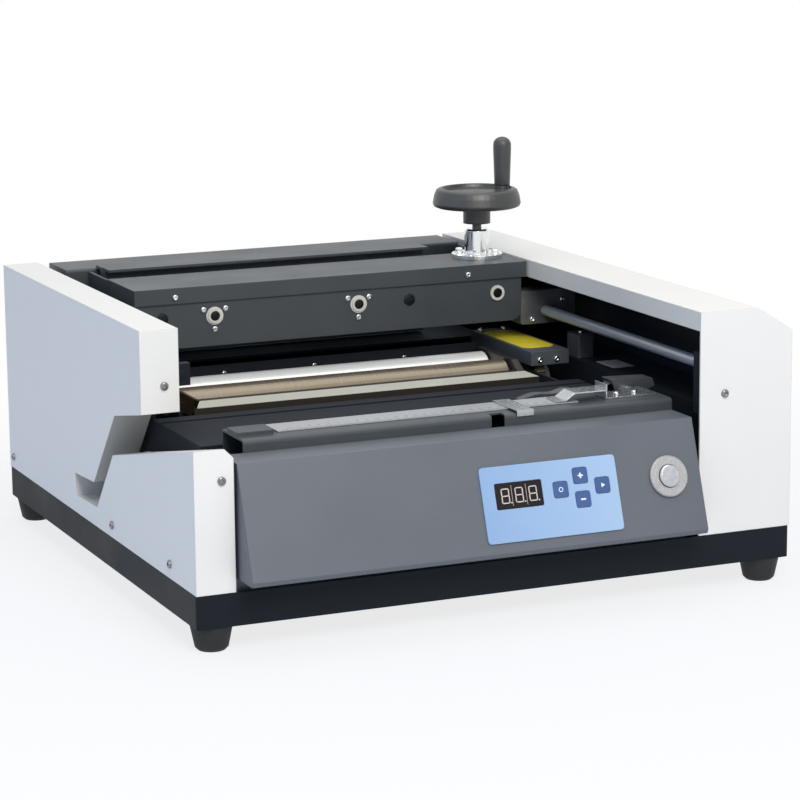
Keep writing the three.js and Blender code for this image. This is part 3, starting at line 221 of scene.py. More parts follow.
# relief on top of a softly rounded edge
def addRelief(group, height, start, end):
    bevel = group.nodes.new("ShaderNodeBevel")
    bevel.samples = effects["edgeSamples"]
    group.links.new(start.outputs["Edge"], bevel.inputs["Radius"])
    bump = group.nodes.new("ShaderNodeBump")
    group.links.new(height, bump.inputs["Height"])
    group.links.new(start.outputs["Depth"], bump.inputs["Distance"])
    group.links.new(bevel.outputs["Normal"], bump.inputs["Normal"])
    group.links.new(bump.outputs["Normal"], end.inputs["Normal"])


# two tones in soft clouds
def makeCloudGroup():
    inputs = {"Light": "NodeSocketColor", "Dark": "NodeSocketColor", "Scale": "NodeSocketFloat"}
    outputs = {"Color": "NodeSocketColor", "Mask": "NodeSocketFloat"}
    group, start, end = newGroup("cloudTone", inputs, outputs)
    clouds = addNoise(group, objectPlace(group), start.outputs["Scale"], effects["cloudDetail"])
    contrast = group.nodes.new("ShaderNodeMapRange")
    contrast.inputs["From Min"].default_value = effects["cloudLow"]
    contrast.inputs["From Max"].default_value = effects["cloudHigh"]
    group.links.new(clouds, contrast.inputs["Value"])
    mask = contrast.outputs["Result"]
    tone = blendTone(group, mask, start.outputs["Dark"], start.outputs["Light"])
    group.links.new(tone, end.inputs["Color"])
    group.links.new(mask, end.inputs["Mask"])
    return group


# the orange-peel grain of a coat
def makeGrainGroup():
    inputs = {"Scale": "NodeSocketFloat", "Depth": "NodeSocketFloat", "Edge": "NodeSocketFloat"}
    group, start, end = newGroup("coatGrain", inputs, {"Normal": "NodeSocketVector"})
    place = objectPlace(group)
    fine = addNoise(group, place, start.outputs["Scale"], effects["grainDetail"])
    larger = addMath(group, "MULTIPLY", start.outputs["Scale"], effects["coarseSize"])
    coarse = addNoise(group, place, larger, effects["grainDetail"])
    height = addMath(group, "ADD", fine, addMath(group, "MULTIPLY", coarse, effects["coarseHeight"]))
    addRelief(group, height, start, end)
    return group


# fine machining lines, drawn out along the axis with the smallest number
def makeBrushGroup():
    inputs = {"Stretch": "NodeSocketVector", "Depth": "NodeSocketFloat", "Edge": "NodeSocketFloat"}
    outputs = {"Normal": "NodeSocketVector", "Mask": "NodeSocketFloat"}
    group, start, end = newGroup("brushLines", inputs, outputs)
    stretch = group.nodes.new("ShaderNodeVectorMath")
    stretch.operation = "MULTIPLY"
    group.links.new(objectPlace(group), stretch.inputs[0])
    group.links.new(start.outputs["Stretch"], stretch.inputs[1])
    lines = addNoise(group, stretch.outputs["Vector"], 1, effects["lineDetail"])
    addRelief(group, lines, start, end)
    group.links.new(lines, end.inputs["Mask"])
    return group


cloudGroup = makeCloudGroup()
grainGroup = makeGrainGroup()
brushGroup = makeBrushGroup()


def addGroup(tree, group, values):
    node = tree.nodes.new("ShaderNodeGroup")
    node.node_tree = group
    for label, value in values.items():
        node.inputs[label].default_value = value
    return node


def between(tree, share, low, high):
    reach = tree.nodes.new("ShaderNodeMapRange")
    reach.inputs["To Min"].default_value = low
    reach.inputs["To Max"].default_value = high
    tree.links.new(share, reach.inputs["Value"])
    return reach.outputs["Result"]


# a share that rises from 0 to 1 between two places along an axis
def alongAxis(tree, axis, low, high):
    ramp = tree.nodes.new("ShaderNodeMapRange")
    ramp.inputs["From Min"].default_value = low
    ramp.inputs["From Max"].default_value = high
    tree.links.new(apartXyz(tree, objectPlace(tree))[axis], ramp.inputs["Value"])
    return ramp.outputs["Result"]


# what every shader starts from
plainShader = {"metal": 0, "coat": 0, "coatRough": 0.12, "mirror": 0.5}


def newMaterial(name, choices):
    values = {**plainShader, **choices}
    material = bpy.data.materials.new(name)
    material.use_nodes = True
    tree = material.node_tree
    tree.nodes.clear()
    output = tree.nodes.new("ShaderNodeOutputMaterial")
    shader = tree.nodes.new("ShaderNodeBsdfPrincipled")
    shader.inputs["Metallic"].default_value = values["metal"]
    shader.inputs["Coat Weight"].default_value = values["coat"]
    shader.inputs["Coat Roughness"].default_value = values["coatRough"]
    shader.inputs["Specular IOR Level"].default_value = values["mirror"]
    tree.links.new(shader.outputs["BSDF"], output.inputs["Surface"])
    return material, tree, shader


# coats, plastics, rubber and print: two tones, how fine their clouds are, roughness, and how fine the grain
# is; its depth and the roundness of edges are in metres
plainCoat = {"clouds": 30, "rough": (0.42, 0.52), "grain": 1500, "depth": 0.00003, "edge": 0.0009}
whiteCoat = {
    "light": (0.885, 0.855, 0.815), "dark": (0.86, 0.835, 0.80), "clouds": 9, "rough": (0.38, 0.46),
    "grain": 900, "depth": 0.00002, "edge": 0.0011, "coat": 0.1,
}
coats = {
    "slateCoat": {
        "light": (0.052, 0.061, 0.069), "dark": (0.045, 0.054, 0.062), "clouds": 14, "edge": 0.0012,
    },
    # gear cover: the same slate paint, made lighter as painted light because its front sits in shade
    "gearCoatPaintedLight": {
        "light": (0.085, 0.096, 0.112), "dark": (0.074, 0.085, 0.100), "clouds": 14, "edge": 0.0012,
    },
    # front panel: the same slate paint, made lighter as painted light for the light its leaning face
    # catches
    "panelCoatPaintedLight": {
        "light": (0.120, 0.132, 0.153), "dark": (0.109, 0.121, 0.141), "clouds": 12, "rough": (0.40, 0.48),
        "edge": 0.0014,
    },
    "baseCoat": {
        "light": (0.010, 0.014, 0.020), "dark": (0.008, 0.011, 0.016), "clouds": 14, "rough": (0.50, 0.60),
        "edge": 0.0012, "mirror": 0.15,
    },
    "innerCoat": {
        "light": (0.014, 0.018, 0.025), "dark": (0.010, 0.013, 0.019), "clouds": 16, "rough": (0.62, 0.75),
        "mirror": 0.2,
    },
    "tankCoat": {
        "light": (0.020, 0.022, 0.026), "dark": (0.028, 0.025, 0.022), "rough": (0.35, 0.55), "grain": 700,
        "depth": 0.00005, "metal": 0.3,
    },
    "footRubber": {"light": (0.016, 0.016, 0.017), "dark": (0.011, 0.011, 0.012), "rough": (0.62, 0.80)},
    "beltRubber": {"light": (0.018, 0.018, 0.018), "dark": (0.012, 0.012, 0.012), "rough": (0.60, 0.75)},
    "blackPlastic": {
        "light": (0.034, 0.035, 0.036), "dark": (0.026, 0.027, 0.028), "rough": (0.36, 0.46), "grain": 1800,
        "mirror": 0.7,
    },
    "wheelPlastic": {
        "light": (0.034, 0.035, 0.036), "dark": (0.026, 0.027, 0.028), "rough": (0.36, 0.46), "grain": 1800,
        "edge": 0.003, "mirror": 0.7,
    },
    "palePlastic": {
        "light": (0.72, 0.70, 0.64), "dark": (0.66, 0.64, 0.58), "depth": 0.00002, "edge": 0.0004,
    },
    "castDark": {
        "light": (0.15, 0.155, 0.165), "dark": (0.095, 0.10, 0.108), "clouds": 45, "rough": (0.42, 0.58),
        "depth": 0.00008, "metal": 0.3,
    },
    "castAlloy": {
        "light": (0.46, 0.47, 0.48), "dark": (0.36, 0.37, 0.38), "rough": (0.42, 0.58), "depth": 0.00006,
        "metal": 1,
    },
    "frostedRing": {
        "light": (0.50, 0.50, 0.51), "dark": (0.30, 0.30, 0.31), "clouds": 900, "rough": (0.42, 0.62),
        "grain": 1900, "depth": 0.00014, "edge": 0.0006, "metal": 0.7,
    },
    "leverCoat": {
        "light": (0.105, 0.110, 0.118), "dark": (0.085, 0.090, 0.098), "rough": (0.34, 0.44),
        "edge": 0.0006, "metal": 0.35,
    },
    "keyFilm": {
        "light": (0.042, 0.100, 0.270), "dark": (0.036, 0.088, 0.245), "rough": (0.34, 0.42),
        "edge": 0.0005, "coat": 0.2,
    },
    "displayGlass": {
        "light": (0.012, 0.009, 0.011), "dark": (0.008, 0.006, 0.008), "rough": (0.16, 0.22), "grain": 600,
        "depth": 0.000004, "edge": 0.0005, "mirror": 0.25,
    },
    "digitPale": {"light": (0.74, 0.62, 0.58), "dark": (0.68, 0.56, 0.52), "edge": 0.0001},
    "markPale": {"light": (0.82, 0.86, 0.92), "dark": (0.78, 0.82, 0.88), "edge": 0.0001},
    "inkBlack": {"light": (0.012, 0.012, 0.013), "dark": (0.009, 0.009, 0.010), "edge": 0.0001},
    "yellowPatch": {"light": (0.86, 0.72, 0.045), "dark": (0.80, 0.66, 0.040), "edge": 0.0004, "coat": 0.2},
    "palePatch": {"light": (0.95, 0.85, 0.82), "dark": (0.88, 0.78, 0.75), "clouds": 60, "edge": 0.0003},
    "blackOxide": {
        "light": (0.022, 0.022, 0.024), "dark": (0.014, 0.014, 0.016), "clouds": 120, "rough": (0.28, 0.42),
        "edge": 0.0003, "metal": 0.7,
    },
}

# metals with machining lines
plainMetal = {
    "rough": (0.20, 0.34), "stretch": (700, 700, 90), "depth": 0.00001, "edge": 0.0005, "metal": 1,
}
metals = {
    "chromePlate": {
        "light": (0.84, 0.85, 0.86), "dark": (0.76, 0.77, 0.78), "rough": (0.05, 0.12),
        "stretch": (60, 60, 900), "depth": 0.000003,
    },
    "shaftSteel": {
        "light": (0.52, 0.54, 0.59), "dark": (0.42, 0.44, 0.49), "rough": (0.26, 0.38),
        "stretch": (500, 30, 500), "depth": 0.000006, "metal": 0.35,
    },
    "plainSteel": {"light": (0.62, 0.63, 0.65), "dark": (0.52, 0.53, 0.55), "stretch": (900, 60, 60)},
    "rulerSteel": {
        "light": (0.58, 0.59, 0.61), "dark": (0.48, 0.49, 0.51), "rough": (0.28, 0.42),
        "stretch": (12, 1500, 1500), "edge": 0.0003, "metal": 0.6,
    },
    "zincPlate": {
        "light": (0.62, 0.64, 0.67), "dark": (0.42, 0.44, 0.47), "rough": (0.16, 0.34),
        "stretch": (220, 220, 220), "depth": 0.00002, "metal": 0.9,
    },
    "rollerBronze": {
        "light": (0.235, 0.20, 0.148), "dark": (0.21, 0.175, 0.128), "rough": (0.22, 0.30),
        "stretch": (900, 8, 8), "depth": 0.0000008, "metal": 0.6,
    },
    "rollerSteel": {
        "light": (0.92, 0.92, 0.91), "dark": (0.84, 0.84, 0.83), "rough": (0.20, 0.30),
        "stretch": (1400, 40, 40), "metal": 0.2,
    },
    "screwSteel": {"light": (0.78, 0.79, 0.81), "dark": (0.58, 0.59, 0.61), "rough": (0.12, 0.26)},
    "darkScrew": {"light": (0.36, 0.36, 0.37), "dark": (0.14, 0.14, 0.15), "rough": (0.12, 0.30)},
}

materials = {}


def makeCoat(name, choices):
    values = {**plainCoat, **choices}
    material, tree, shader = newMaterial(name, values)
    tones = {"Light": (*values["light"], 1), "Dark": (*values["dark"], 1), "Scale": values["clouds"]}
    tone = addGroup(tree, cloudGroup, tones)
    grain = {"Scale": values["grain"], "Depth": values["depth"], "Edge": values["edge"]}
    relief = addGroup(tree, grainGroup, grain)
    tree.links.new(tone.outputs["Color"], shader.inputs["Base Color"])
    tree.links.new(between(tree, tone.outputs["Mask"], *values["rough"]), shader.inputs["Roughness"])
    tree.links.new(relief.outputs["Normal"], shader.inputs["Normal"])
    materials[name] = material
    return tree, tone.outputs["Color"], shader


def makeMetal(name, choices):
    values = {**plainMetal, **choices}
    material, tree, shader = newMaterial(name, values)
    brush = {"Stretch": values["stretch"], "Depth": values["depth"], "Edge": values["edge"]}
    lines = addGroup(tree, brushGroup, brush)
    tone = blendTone(tree, lines.outputs["Mask"], values["dark"], values["light"])
    tree.links.new(tone, shader.inputs["Base Color"])
    tree.links.new(between(tree, lines.outputs["Mask"], *values["rough"]), shader.inputs["Roughness"])
    tree.links.new(lines.outputs["Normal"], shader.inputs["Normal"])
    materials[name] = material
    return tree, tone, shader


# membrane film: a blue that pales towards its right end
film = {
    "light": (0.272, 0.42, 0.665), "dark": (0.262, 0.41, 0.65), "right": (0.38, 0.53, 0.75),
    "rough": (0.30, 0.40), "depth": 0.00001, "edge": 0.0004, "coat": 0.25,
}


def makeFilm():
    tree, tone, shader = makeCoat("membraneFilm", film)
    low, high = corners("membrane_panel")
    share = alongAxis(tree, "X", low.x, high.x)
    tree.links.new(blendTone(tree, share, tone, film["right"]), shader.inputs["Base Color"])


# scraper: glue has browned its left guard and its front, in millimetres from its left front corner
scraper = {
    "steel": {
        "light": (0.82, 0.81, 0.71), "dark": (0.74, 0.73, 0.63), "rough": (0.25, 0.40),
        "stretch": (10, 1400, 1400), "metal": 0.2,
    },
    "stain": (0.13, 0.085, 0.055), "guard": (2.5, 5.5), "front": (0.045, 0.038, 0.030), "lip": (8.7, 9.4),
}


def makeScraper():
    tree, tone, shader = makeMetal("scraperSteel", scraper["steel"])
    low, _ = corners("scraper_bar")
    clean = alongAxis(tree, "X", *(low.x + reach * mm for reach in scraper["guard"]))
    above = alongAxis(tree, "Y", *(low.y + reach * mm for reach in scraper["lip"]))
    colour = blendTone(tree, above, scraper["front"], blendTone(tree, clean, scraper["stain"], tone))
    tree.links.new(colour, shader.inputs["Base Color"])


# jaws: rub marks where books slide past
rubbed = {"tone": (0.11, 0.115, 0.12), "stretch": (420, 420, 9), "detail": 3, "above": 0.66, "share": 0.35}


def makeRubbed():
    tree, tone, shader = makeCoat("jawCoat", coats["slateCoat"])
    stretch = tree.nodes.new("ShaderNodeVectorMath")
    stretch.operation = "MULTIPLY"
    stretch.inputs[1].default_value = rubbed["stretch"]
    tree.links.new(objectPlace(tree), stretch.inputs[0])
    streaks = addNoise(tree, stretch.outputs["Vector"], 1, rubbed["detail"])
    above = addMath(tree, "GREATER_THAN", streaks, rubbed["above"])
    share = addMath(tree, "MULTIPLY", above, rubbed["share"])
    tree.links.new(blendTone(tree, share, tone, rubbed["tone"]), shader.inputs["Base Color"])


# covers: the inside of the right one's folded white sheet is painted dark as painted shade, and the left
# one's slot faces under its lip are painted grey as painted shade
coverInsideShade = {"dark": (0.012, 0.018, 0.030), "wall": 0.7, "chamferWide": 40, "chamferHigh": 25}
slotShade = {"tone": (0.51, 0.49, 0.455), "lean": -0.12, "wall": 0.7}


def makeRightCover():
    tree, tone, shader = makeCoat("rightCoverCoat", whiteCoat)
    low, high = corners("right_cover")
    wall = coverInsideShade["wall"] * mm
    place = apartXyz(tree, objectPlace(tree))
    # this sum is the same all over the chamfer's outer face
    slope = coverInsideShade["chamferHigh"] / coverInsideShade["chamferWide"]
    across = addMath(tree, "ADD", addMath(tree, "MULTIPLY", place["X"], slope), place["Z"])
    chamfer = high.x * slope + high.z - coverInsideShade["chamferHigh"] * mm
    tests = (
        ("GREATER_THAN", place["X"], low.x + wall),
        ("LESS_THAN", place["X"], high.x - wall),
        ("GREATER_THAN", place["Y"], low.y + wall),
        ("LESS_THAN", place["Y"], high.y - wall),
        ("LESS_THAN", place["Z"], high.z - wall),
        ("LESS_THAN", across, chamfer - wall * math.hypot(1, slope)),
    )
    inside = 1
    for operation, value, limit in tests:
        inside = addMath(tree, "MULTIPLY", addMath(tree, operation, value, limit), inside)
    # painted shade: the inner faces of the white sheet are given the dark tone
    tree.links.new(blendTone(tree, inside, tone, coverInsideShade["dark"]), shader.inputs["Base Color"])


def makeLeftCover():
    tree, tone, shader = makeCoat("leftCoverCoat", whiteCoat)
    low, _ = corners("left_cover")
    facing = apartXyz(tree, tree.nodes.new("ShaderNodeNewGeometry").outputs["True Normal"])
    place = apartXyz(tree, objectPlace(tree))
    leaning = addMath(tree, "LESS_THAN", facing["Z"], slotShade["lean"])
    above = addMath(tree, "GREATER_THAN", place["Z"], low.z + slotShade["wall"] * mm)
    share = addMath(tree, "MULTIPLY", leaning, above)
    # painted shade: faces that lean down under the slot's lip are given the grey tone
    tree.links.new(blendTone(tree, share, tone, slotShade["tone"]), shader.inputs["Base Color"])


for name, choices in coats.items():
    makeCoat(name, choices)
for name, choices in metals.items():
    makeMetal(name, choices)
makeFilm()
makeScraper()
makeRubbed()
makeRightCover()
makeLeftCover()

nodeFinish = {
    "leftCoverCoat": ["left_cover"],
    "rightCoverCoat": ["right_cover"],
    "baseCoat": ["base_tray", "rear_panel"],
    "panelCoatPaintedLight": ["front_panel"],
    "gearCoatPaintedLight": ["gear_cover"],
    "slateCoat": ["apron", "carriage_body", "carriage_lid", "rear_box"],
    "jawCoat": ["rear_jaw", "front_jaw"],
    "innerCoat": [
        "front_nip_plate", "rear_nip_bar", "left_frame", "right_frame", "right_bed", "tank_rear_plate",
        "jogging_plate", "rear_slider", "left_slider",
    ],
    "castDark": ["front_slider", "stop_block"],
    "tankCoat": ["glue_tank"],
    "footRubber": ["foot_front_left", "foot_front_right", "foot_rear_left", "foot_rear_right"],
    "beltRubber": ["drive_belt"],
    "wheelPlastic": ["handwheel", "crank_grip"],
    "blackPlastic": ["power_inlet", "rocker_switch"],
    "palePlastic": ["screw_bearing_left", "screw_bearing_right", "shaft_bearing"],
    "castAlloy": ["tank_heater", "gear_motor"],
    "frostedRing": ["button_ring"],
    "leverCoat": ["hold_down_lever"],
    "membraneFilm": ["membrane_panel"],
    "keyFilm": ["key_plus", "key_minus", "key_set", "key_ok"],
    "displayGlass": ["display_window"],
    "chromePlate": ["wheel_flange"],
    "shaftSteel": ["left_shaft", "right_shaft"],
    "plainSteel": ["motor_pinion", "lead_screw_left", "lead_screw_right", "drive_shaft"],
    "rulerSteel": ["ruler"],
    "zincPlate": ["lever_bracket", "gauge_clip", "start_button"],
    "rollerBronze": ["front_roller"],
    "rollerSteel": ["rear_roller"],
    "scraperSteel": ["scraper_bar"],
}

for finish, names in nodeFinish.items():
    for name in names:
        node = cadNodes[name]
        if not node.material_slots:
            node.data.materials.append(materials[finish])
        for slot in node.material_slots:
            slot.material = materials[finish]
bare = set(cadNodes) - {name for names in nodeFinish.values() for name in names}
print("materials made, nodes without one:", sorted(bare))


def only(piece):
    bpy.ops.object.select_all(action="DESELECT")
    piece.select_set(True)
    bpy.context.view_layer.objects.active = piece


# modelling: sides of round and six-sided pieces, how far a cutter runs past its piece, what counts as a top
# face and as the same place in metres, and the degrees up to which an edge is shaded smooth
modelling = {
    "roundSides": 32, "holeSides": 16, "hexSides": 6, "overrun": 1, "facingUp": 0.99, "tolerance": 1e-6,
    "smoothAngle": 35,
}


# goes into edit mode and selects the faces or edges that pass the test
def pick(kind, test):
    bpy.ops.object.mode_set(mode="EDIT")
    bpy.ops.mesh.select_mode(type={"faces": "FACE", "edges": "EDGE"}[kind])
    bpy.ops.mesh.select_all(action="DESELECT")
    mesh = bmesh.from_edit_mesh(bpy.context.object.data)
    for part in getattr(mesh, kind):
        if test(part):
            part.select_set(True)
    bmesh.update_edit_mesh(bpy.context.object.data)


def leaveEdit():
    bpy.ops.object.mode_set(mode="OBJECT")


def settle(name):
    bpy.ops.object.transform_apply(location=True, rotation=True, scale=True)
    piece = bpy.context.object
    piece.name = name
    piece.data.name = name
    return piece


# sizes in millimetres from here on, heights from the piece's foot
def addCylinder(name, radius, low, high, sides=modelling["roundSides"]):
    centre = (0, 0, (low + high) / 2 * mm)
    depth = (high - low) * mm
    bpy.ops.mesh.primitive_cylinder_add(vertices=sides, radius=radius * mm, depth=depth, location=centre)
    return settle(name)


def addBlock(name, width, depth, low, high):
    bpy.ops.mesh.primitive_cube_add(size=1, location=(0, 0, (low + high) / 2 * mm))
    bpy.context.object.scale = (width * mm, depth * mm, (high - low) * mm)
    return settle(name)


def roundTop(piece, width, steps):
    only(piece)
    pick("faces", lambda face: face.normal.z > modelling["facingUp"])
    bpy.ops.mesh.bevel(offset=width * mm, segments=steps, affect="EDGES")
    leaveEdit()


def cutOut(piece, tool):
    only(piece)
    bpy.ops.object.modifier_add(type="BOOLEAN")
    modifier = piece.modifiers[-1]
    modifier.operation = "DIFFERENCE"
    modifier.object = tool
    bpy.ops.object.modifier_apply(modifier=modifier.name)
    bpy.data.objects.remove(tool)


def joined(name, pieces):
    bpy.ops.object.select_all(action="DESELECT")
    for piece in pieces:
        piece.select_set(True)
    bpy.context.view_layer.objects.active = pieces[0]
    if len(pieces) > 1:
        bpy.ops.object.join()
    return settle(name)


# copies a piece to each point, standing out along the direction and turned about it, and drops the original
def spread(master, name, places):
    copies = []
    for point, direction, turn in places:
        only(master)
        bpy.ops.object.duplicate(linked=False)
        copy = bpy.context.object
        lean = Vector(direction).to_track_quat("Z", "Y").to_matrix().to_4x4()
        copy.matrix_world = Matrix.Translation(point) @ lean @ Matrix.Rotation(turn, 4, "Z")
        bpy.ops.object.transform_apply(location=True, rotation=True, scale=True)
        copies.append(copy)
    bpy.data.objects.remove(master)
    return joined(name, copies)


def finishPiece(piece, body, finish):
    only(piece)
    piece.data.materials.clear()
    piece.data.materials.append(materials[finish])
    bpy.ops.object.shade_smooth_by_angle(angle=math.radians(modelling["smoothAngle"]))
    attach(piece, body)


# socket-head screws; each in a row is turned a little further than the one before
capScrew = {"radius": 3.2, "height": 2.4, "round": 1.1, "socket": 1.6, "deep": 1.5, "finish": "screwSteel"}
coverScrew = {"radius": 4.1, "height": 2.3, "round": 1.4, "socket": 2.0, "deep": 1.5, "finish": "darkScrew"}
inletScrew = {
    "radius": 2.4, "height": 1.8, "round": 0.8, "socket": 1.2, "deep": 1.1, "finish": "blackOxide",
}
screwHeads = {"roundSteps": 4, "turnStep": 0.4}


def makeScrew(name, spec):
    head = addCylinder(name, spec["radius"], 0, spec["height"])
    roundTop(head, spec["round"], screwHeads["roundSteps"])
    low, high = spec["height"] - spec["deep"], spec["height"] + modelling["overrun"]
    cutOut(head, addCylinder("socketTool", spec["socket"], low, high, modelling["hexSides"]))
    return head


# each set: kind of screw, body that carries it, places by node, side, across, up and depth behind the side
screwSets = {
    "left_cover_screws": (coverScrew, "base", [
        ("left_cover", "left", 592, 12.8), ("left_cover", "left", 246.2, 12.9),
        ("left_cover", "left", 72.4, 14.1), ("left_cover", "front", 26.9, 106.5),
        ("left_cover", "front", 23.9, 169.4, 146),
    ]),
    "right_cover_screws": (coverScrew, "base", [
        ("right_cover", "front", 27.7, 141.5), ("right_cover", "right", 592, 12.7),
        ("right_cover", "right", 246, 12.7), ("right_cover", "right", 72, 13.7),
    ]),
    "rear_panel_screws": (capScrew, "base", [
        ("rear_panel", "rear", 10.7, 172.7), ("rear_panel", "rear", 475.7, 172.7),
        ("rear_panel", "rear", 10.7, 38.7), ("rear_panel", "rear", 475.7, 38.7),
        ("rear_panel", "rear", 242.7, 172.7),
    ]),
    "lid_screws": (capScrew, "carriage", [
        ("carriage_lid", "front", 44.4, 7), ("carriage_lid", "front", 379.9, 7),
    ]),
    "tank_plate_screws": (capScrew, "base", [
        ("tank_rear_plate", "front", 93.7, 32), ("tank_rear_plate", "front", 197.2, 32),
        ("tank_rear_plate", "front", 303.5, 32),
    ]),
    "gear_cover_screws": (capScrew, "base", [
        ("gear_cover", "front", 10, 6), ("gear_cover", "front", 30, 6),
        ("gear_cover", "top", 8, 145), ("gear_cover", "top", 37, 145),
    ]),
    "slider_screws": (capScrew, "carriage", [
        ("front_slider", "front", 50.8, 25.1), ("front_slider", "front", 13.9, 5.5),
    ]),
    "rear_box_screws": (capScrew, "carriage", [
        ("rear_box", "rear", 19, 34), ("rear_box", "rear", 229, 34), ("rear_box", "rear", 439, 34),
        ("rear_box", "rear", 19, 10), ("rear_box", "rear", 439, 10),
    ]),
    "bracket_screws": (capScrew, "base", [
        ("lever_bracket", "top", 72, 12, 13.5), ("lever_bracket", "top", 92, 12, 13.5),
    ]),
    "stop_block_screw": (capScrew, "base", [("stop_block", "top", 10, 14)]),
    "inlet_screws": (inletScrew, "base", [
        ("power_inlet", "rear", 3.4, 3.5), ("power_inlet", "rear", 26.6, 46.5),
    ]),
}

# three screws round each lead screw's bearing, four bolts on the handwheel's flange
bearingScrews = {"ring": 14.1, "angles": (150, 30, 270)}
flangeBolts = {
    "ring": 21, "count": 4, "below": 27.3, "radius": 3.9, "height": 4, "round": 0.6, "sunk": 0.1,
    "washer": 5.4, "washerHigh": 0.9, "washerRound": 0.25, "roundSteps": 2,
}


def makeScrews():
    for name, (spec, body, rows) in screwSets.items():
        places = []
        for index, row in enumerate(rows):
            places.append((onSide(*row), directions[row[1]], screwHeads["turnStep"] * index))
        screws = spread(makeScrew("screwMaster", spec), name, places)
        finishPiece(screws, body, spec["finish"])
    front = corners("carriage_body")[0].y
    for side in ("left", "right"):
        centre = middle(f"screw_bearing_{side}")
        places = []
        for angle in bearingScrews["angles"]:
            turn = math.radians(angle)
            x = centre.x + bearingScrews["ring"] * mm * math.cos(turn)
            z = centre.z + bearingScrews["ring"] * mm * math.sin(turn)
            places.append((Vector((x, front, z)), directions["front"], turn))
        screws = spread(makeScrew("screwMaster", capScrew), f"bearing_screws_{side}", places)
        finishPiece(screws, "carriage", capScrew["finish"])


def makeFlangeBolts():
    washer = addCylinder("boltWasher", flangeBolts["washer"], 0, flangeBolts["washerHigh"])
    roundTop(washer, flangeBolts["washerRound"], flangeBolts["roundSteps"])
    foot = flangeBolts["washerHigh"] - flangeBolts["sunk"]
    top = foot + flangeBolts["height"]
    head = addCylinder("boltHead", flangeBolts["radius"], foot, top, modelling["hexSides"])
    roundTop(head, flangeBolts["round"], flangeBolts["roundSteps"])
    centre = middle("wheel_flange")
    centre.z = corners("wheel_flange")[1].z - flangeBolts["below"] * mm
    places = []
    for step in range(flangeBolts["count"]):
        angle = math.tau * (step + 0.5) / flangeBolts["count"]
        away = Vector((math.cos(angle), math.sin(angle), 0)) * flangeBolts["ring"] * mm
        places.append((centre + away, directions["top"], angle))
    bolts = spread(joined("boltMaster", [washer, head]), "wheel_flange_bolts", places)
    finishPiece(bolts, "carriage", "screwSteel")


makeScrews()
makeFlangeBolts()
print("screws and bolts made")

# ends of the shafts that show in the carriage's front plate, and a plug on the left guide shaft
screwEnd = {
    "radius": 4.9, "height": 1.6, "round": 0.4, "roundSteps": 3, "hole": 0.75, "apart": 2.2, "deep": 0.8,
    "turn": 0.6,
}
rodEnd = {
    "radius": 5.9, "height": 0.9, "round": 0.35, "roundSteps": 3, "slot": 1.1, "slotLong": 17.7,
    "deep": 0.5, "across": (19.9, 300.3), "up": 59.5, "turn": 0.5,
}
driveEnd = {"radius": 5.0, "height": 1.2, "round": 0.4, "socket": 2.2, "deep": 0.7}
shaftPlug = {"radius": 6.4, "height": 1.0, "round": 0.4, "roundSteps": 2}


def frontOf(node):
    point = middle(node)
    point.y = corners(node)[0].y
    return point


def makeShaftEnds():
    for side in ("left", "right"):
        end = addCylinder("endMaster", screwEnd["radius"], 0, screwEnd["height"])
        roundTop(end, screwEnd["round"], screwEnd["roundSteps"])
        low, high = screwEnd["height"] - screwEnd["deep"], screwEnd["height"] + modelling["overrun"]
        for reach in (-screwEnd["apart"], screwEnd["apart"]):
            tool = addCylinder("holeTool", screwEnd["hole"], low, high, modelling["holeSides"])
            tool.location.x = reach * mm
            cutOut(end, tool)
        body = f"lead_screw_{side}"
        piece = spread(end, f"screw_end_{side}", [(frontOf(body), directions["front"], screwEnd["turn"])])
        finishPiece(piece, body, "blackOxide")

    rod = addCylinder("rodMaster", rodEnd["radius"], 0, rodEnd["height"])
    roundTop(rod, rodEnd["round"], rodEnd["roundSteps"])
    low, high = rodEnd["height"] - rodEnd["deep"], rodEnd["height"] + modelling["overrun"]
    cutOut(rod, addBlock("slotTool", rodEnd["slotLong"], rodEnd["slot"], low, high))
    places = []
    for across in rodEnd["across"]:
        point = onSide("front_jaw", "front", across, rodEnd["up"])
        places.append((point, directions["front"], rodEnd["turn"]))
    finishPiece(spread(rod, "guide_rod_ends", places), "front_jaw", "blackOxide")

    places = [(frontOf("drive_shaft"), directions["front"], 0)]
    drive = spread(makeScrew("driveMaster", driveEnd), "drive_shaft_end", places)
    finishPiece(drive, "drive_shaft", "blackOxide")

    plug = addCylinder("plugMaster", shaftPlug["radius"], 0, shaftPlug["height"])
    roundTop(plug, shaftPlug["round"], shaftPlug["roundSteps"])
    plug = spread(plug, "left_shaft_plug", [(frontOf("left_shaft"), directions["front"], 0)])
    finishPiece(plug, "base", "innerCoat")


makeShaftEnds()
print("shaft ends made")

# display digits of seven bars with a point, and the two lines between them
digits = {
    "height": 13.6, "width": 7.6, "stroke": 1.0, "thick": 0.12, "pitch": 14.6, "gap": 0.25, "dot": 0.75,
    "dotOut": 1.9, "dotSides": 16, "glassHalf": 0.9, "lineLong": 20, "lineWide": 0.35,
    "lineThick": 0.06, "lineOut": 7.6,
}
keyMarks = {
    "long": 6.2, "wide": 1.7, "thick": 0.15, "ring": 2.4, "ringWall": 0.8, "arrow": 2.7, "arrowSides": 3,
    "keyHalf": 0.7, "cross": 0.01,
}


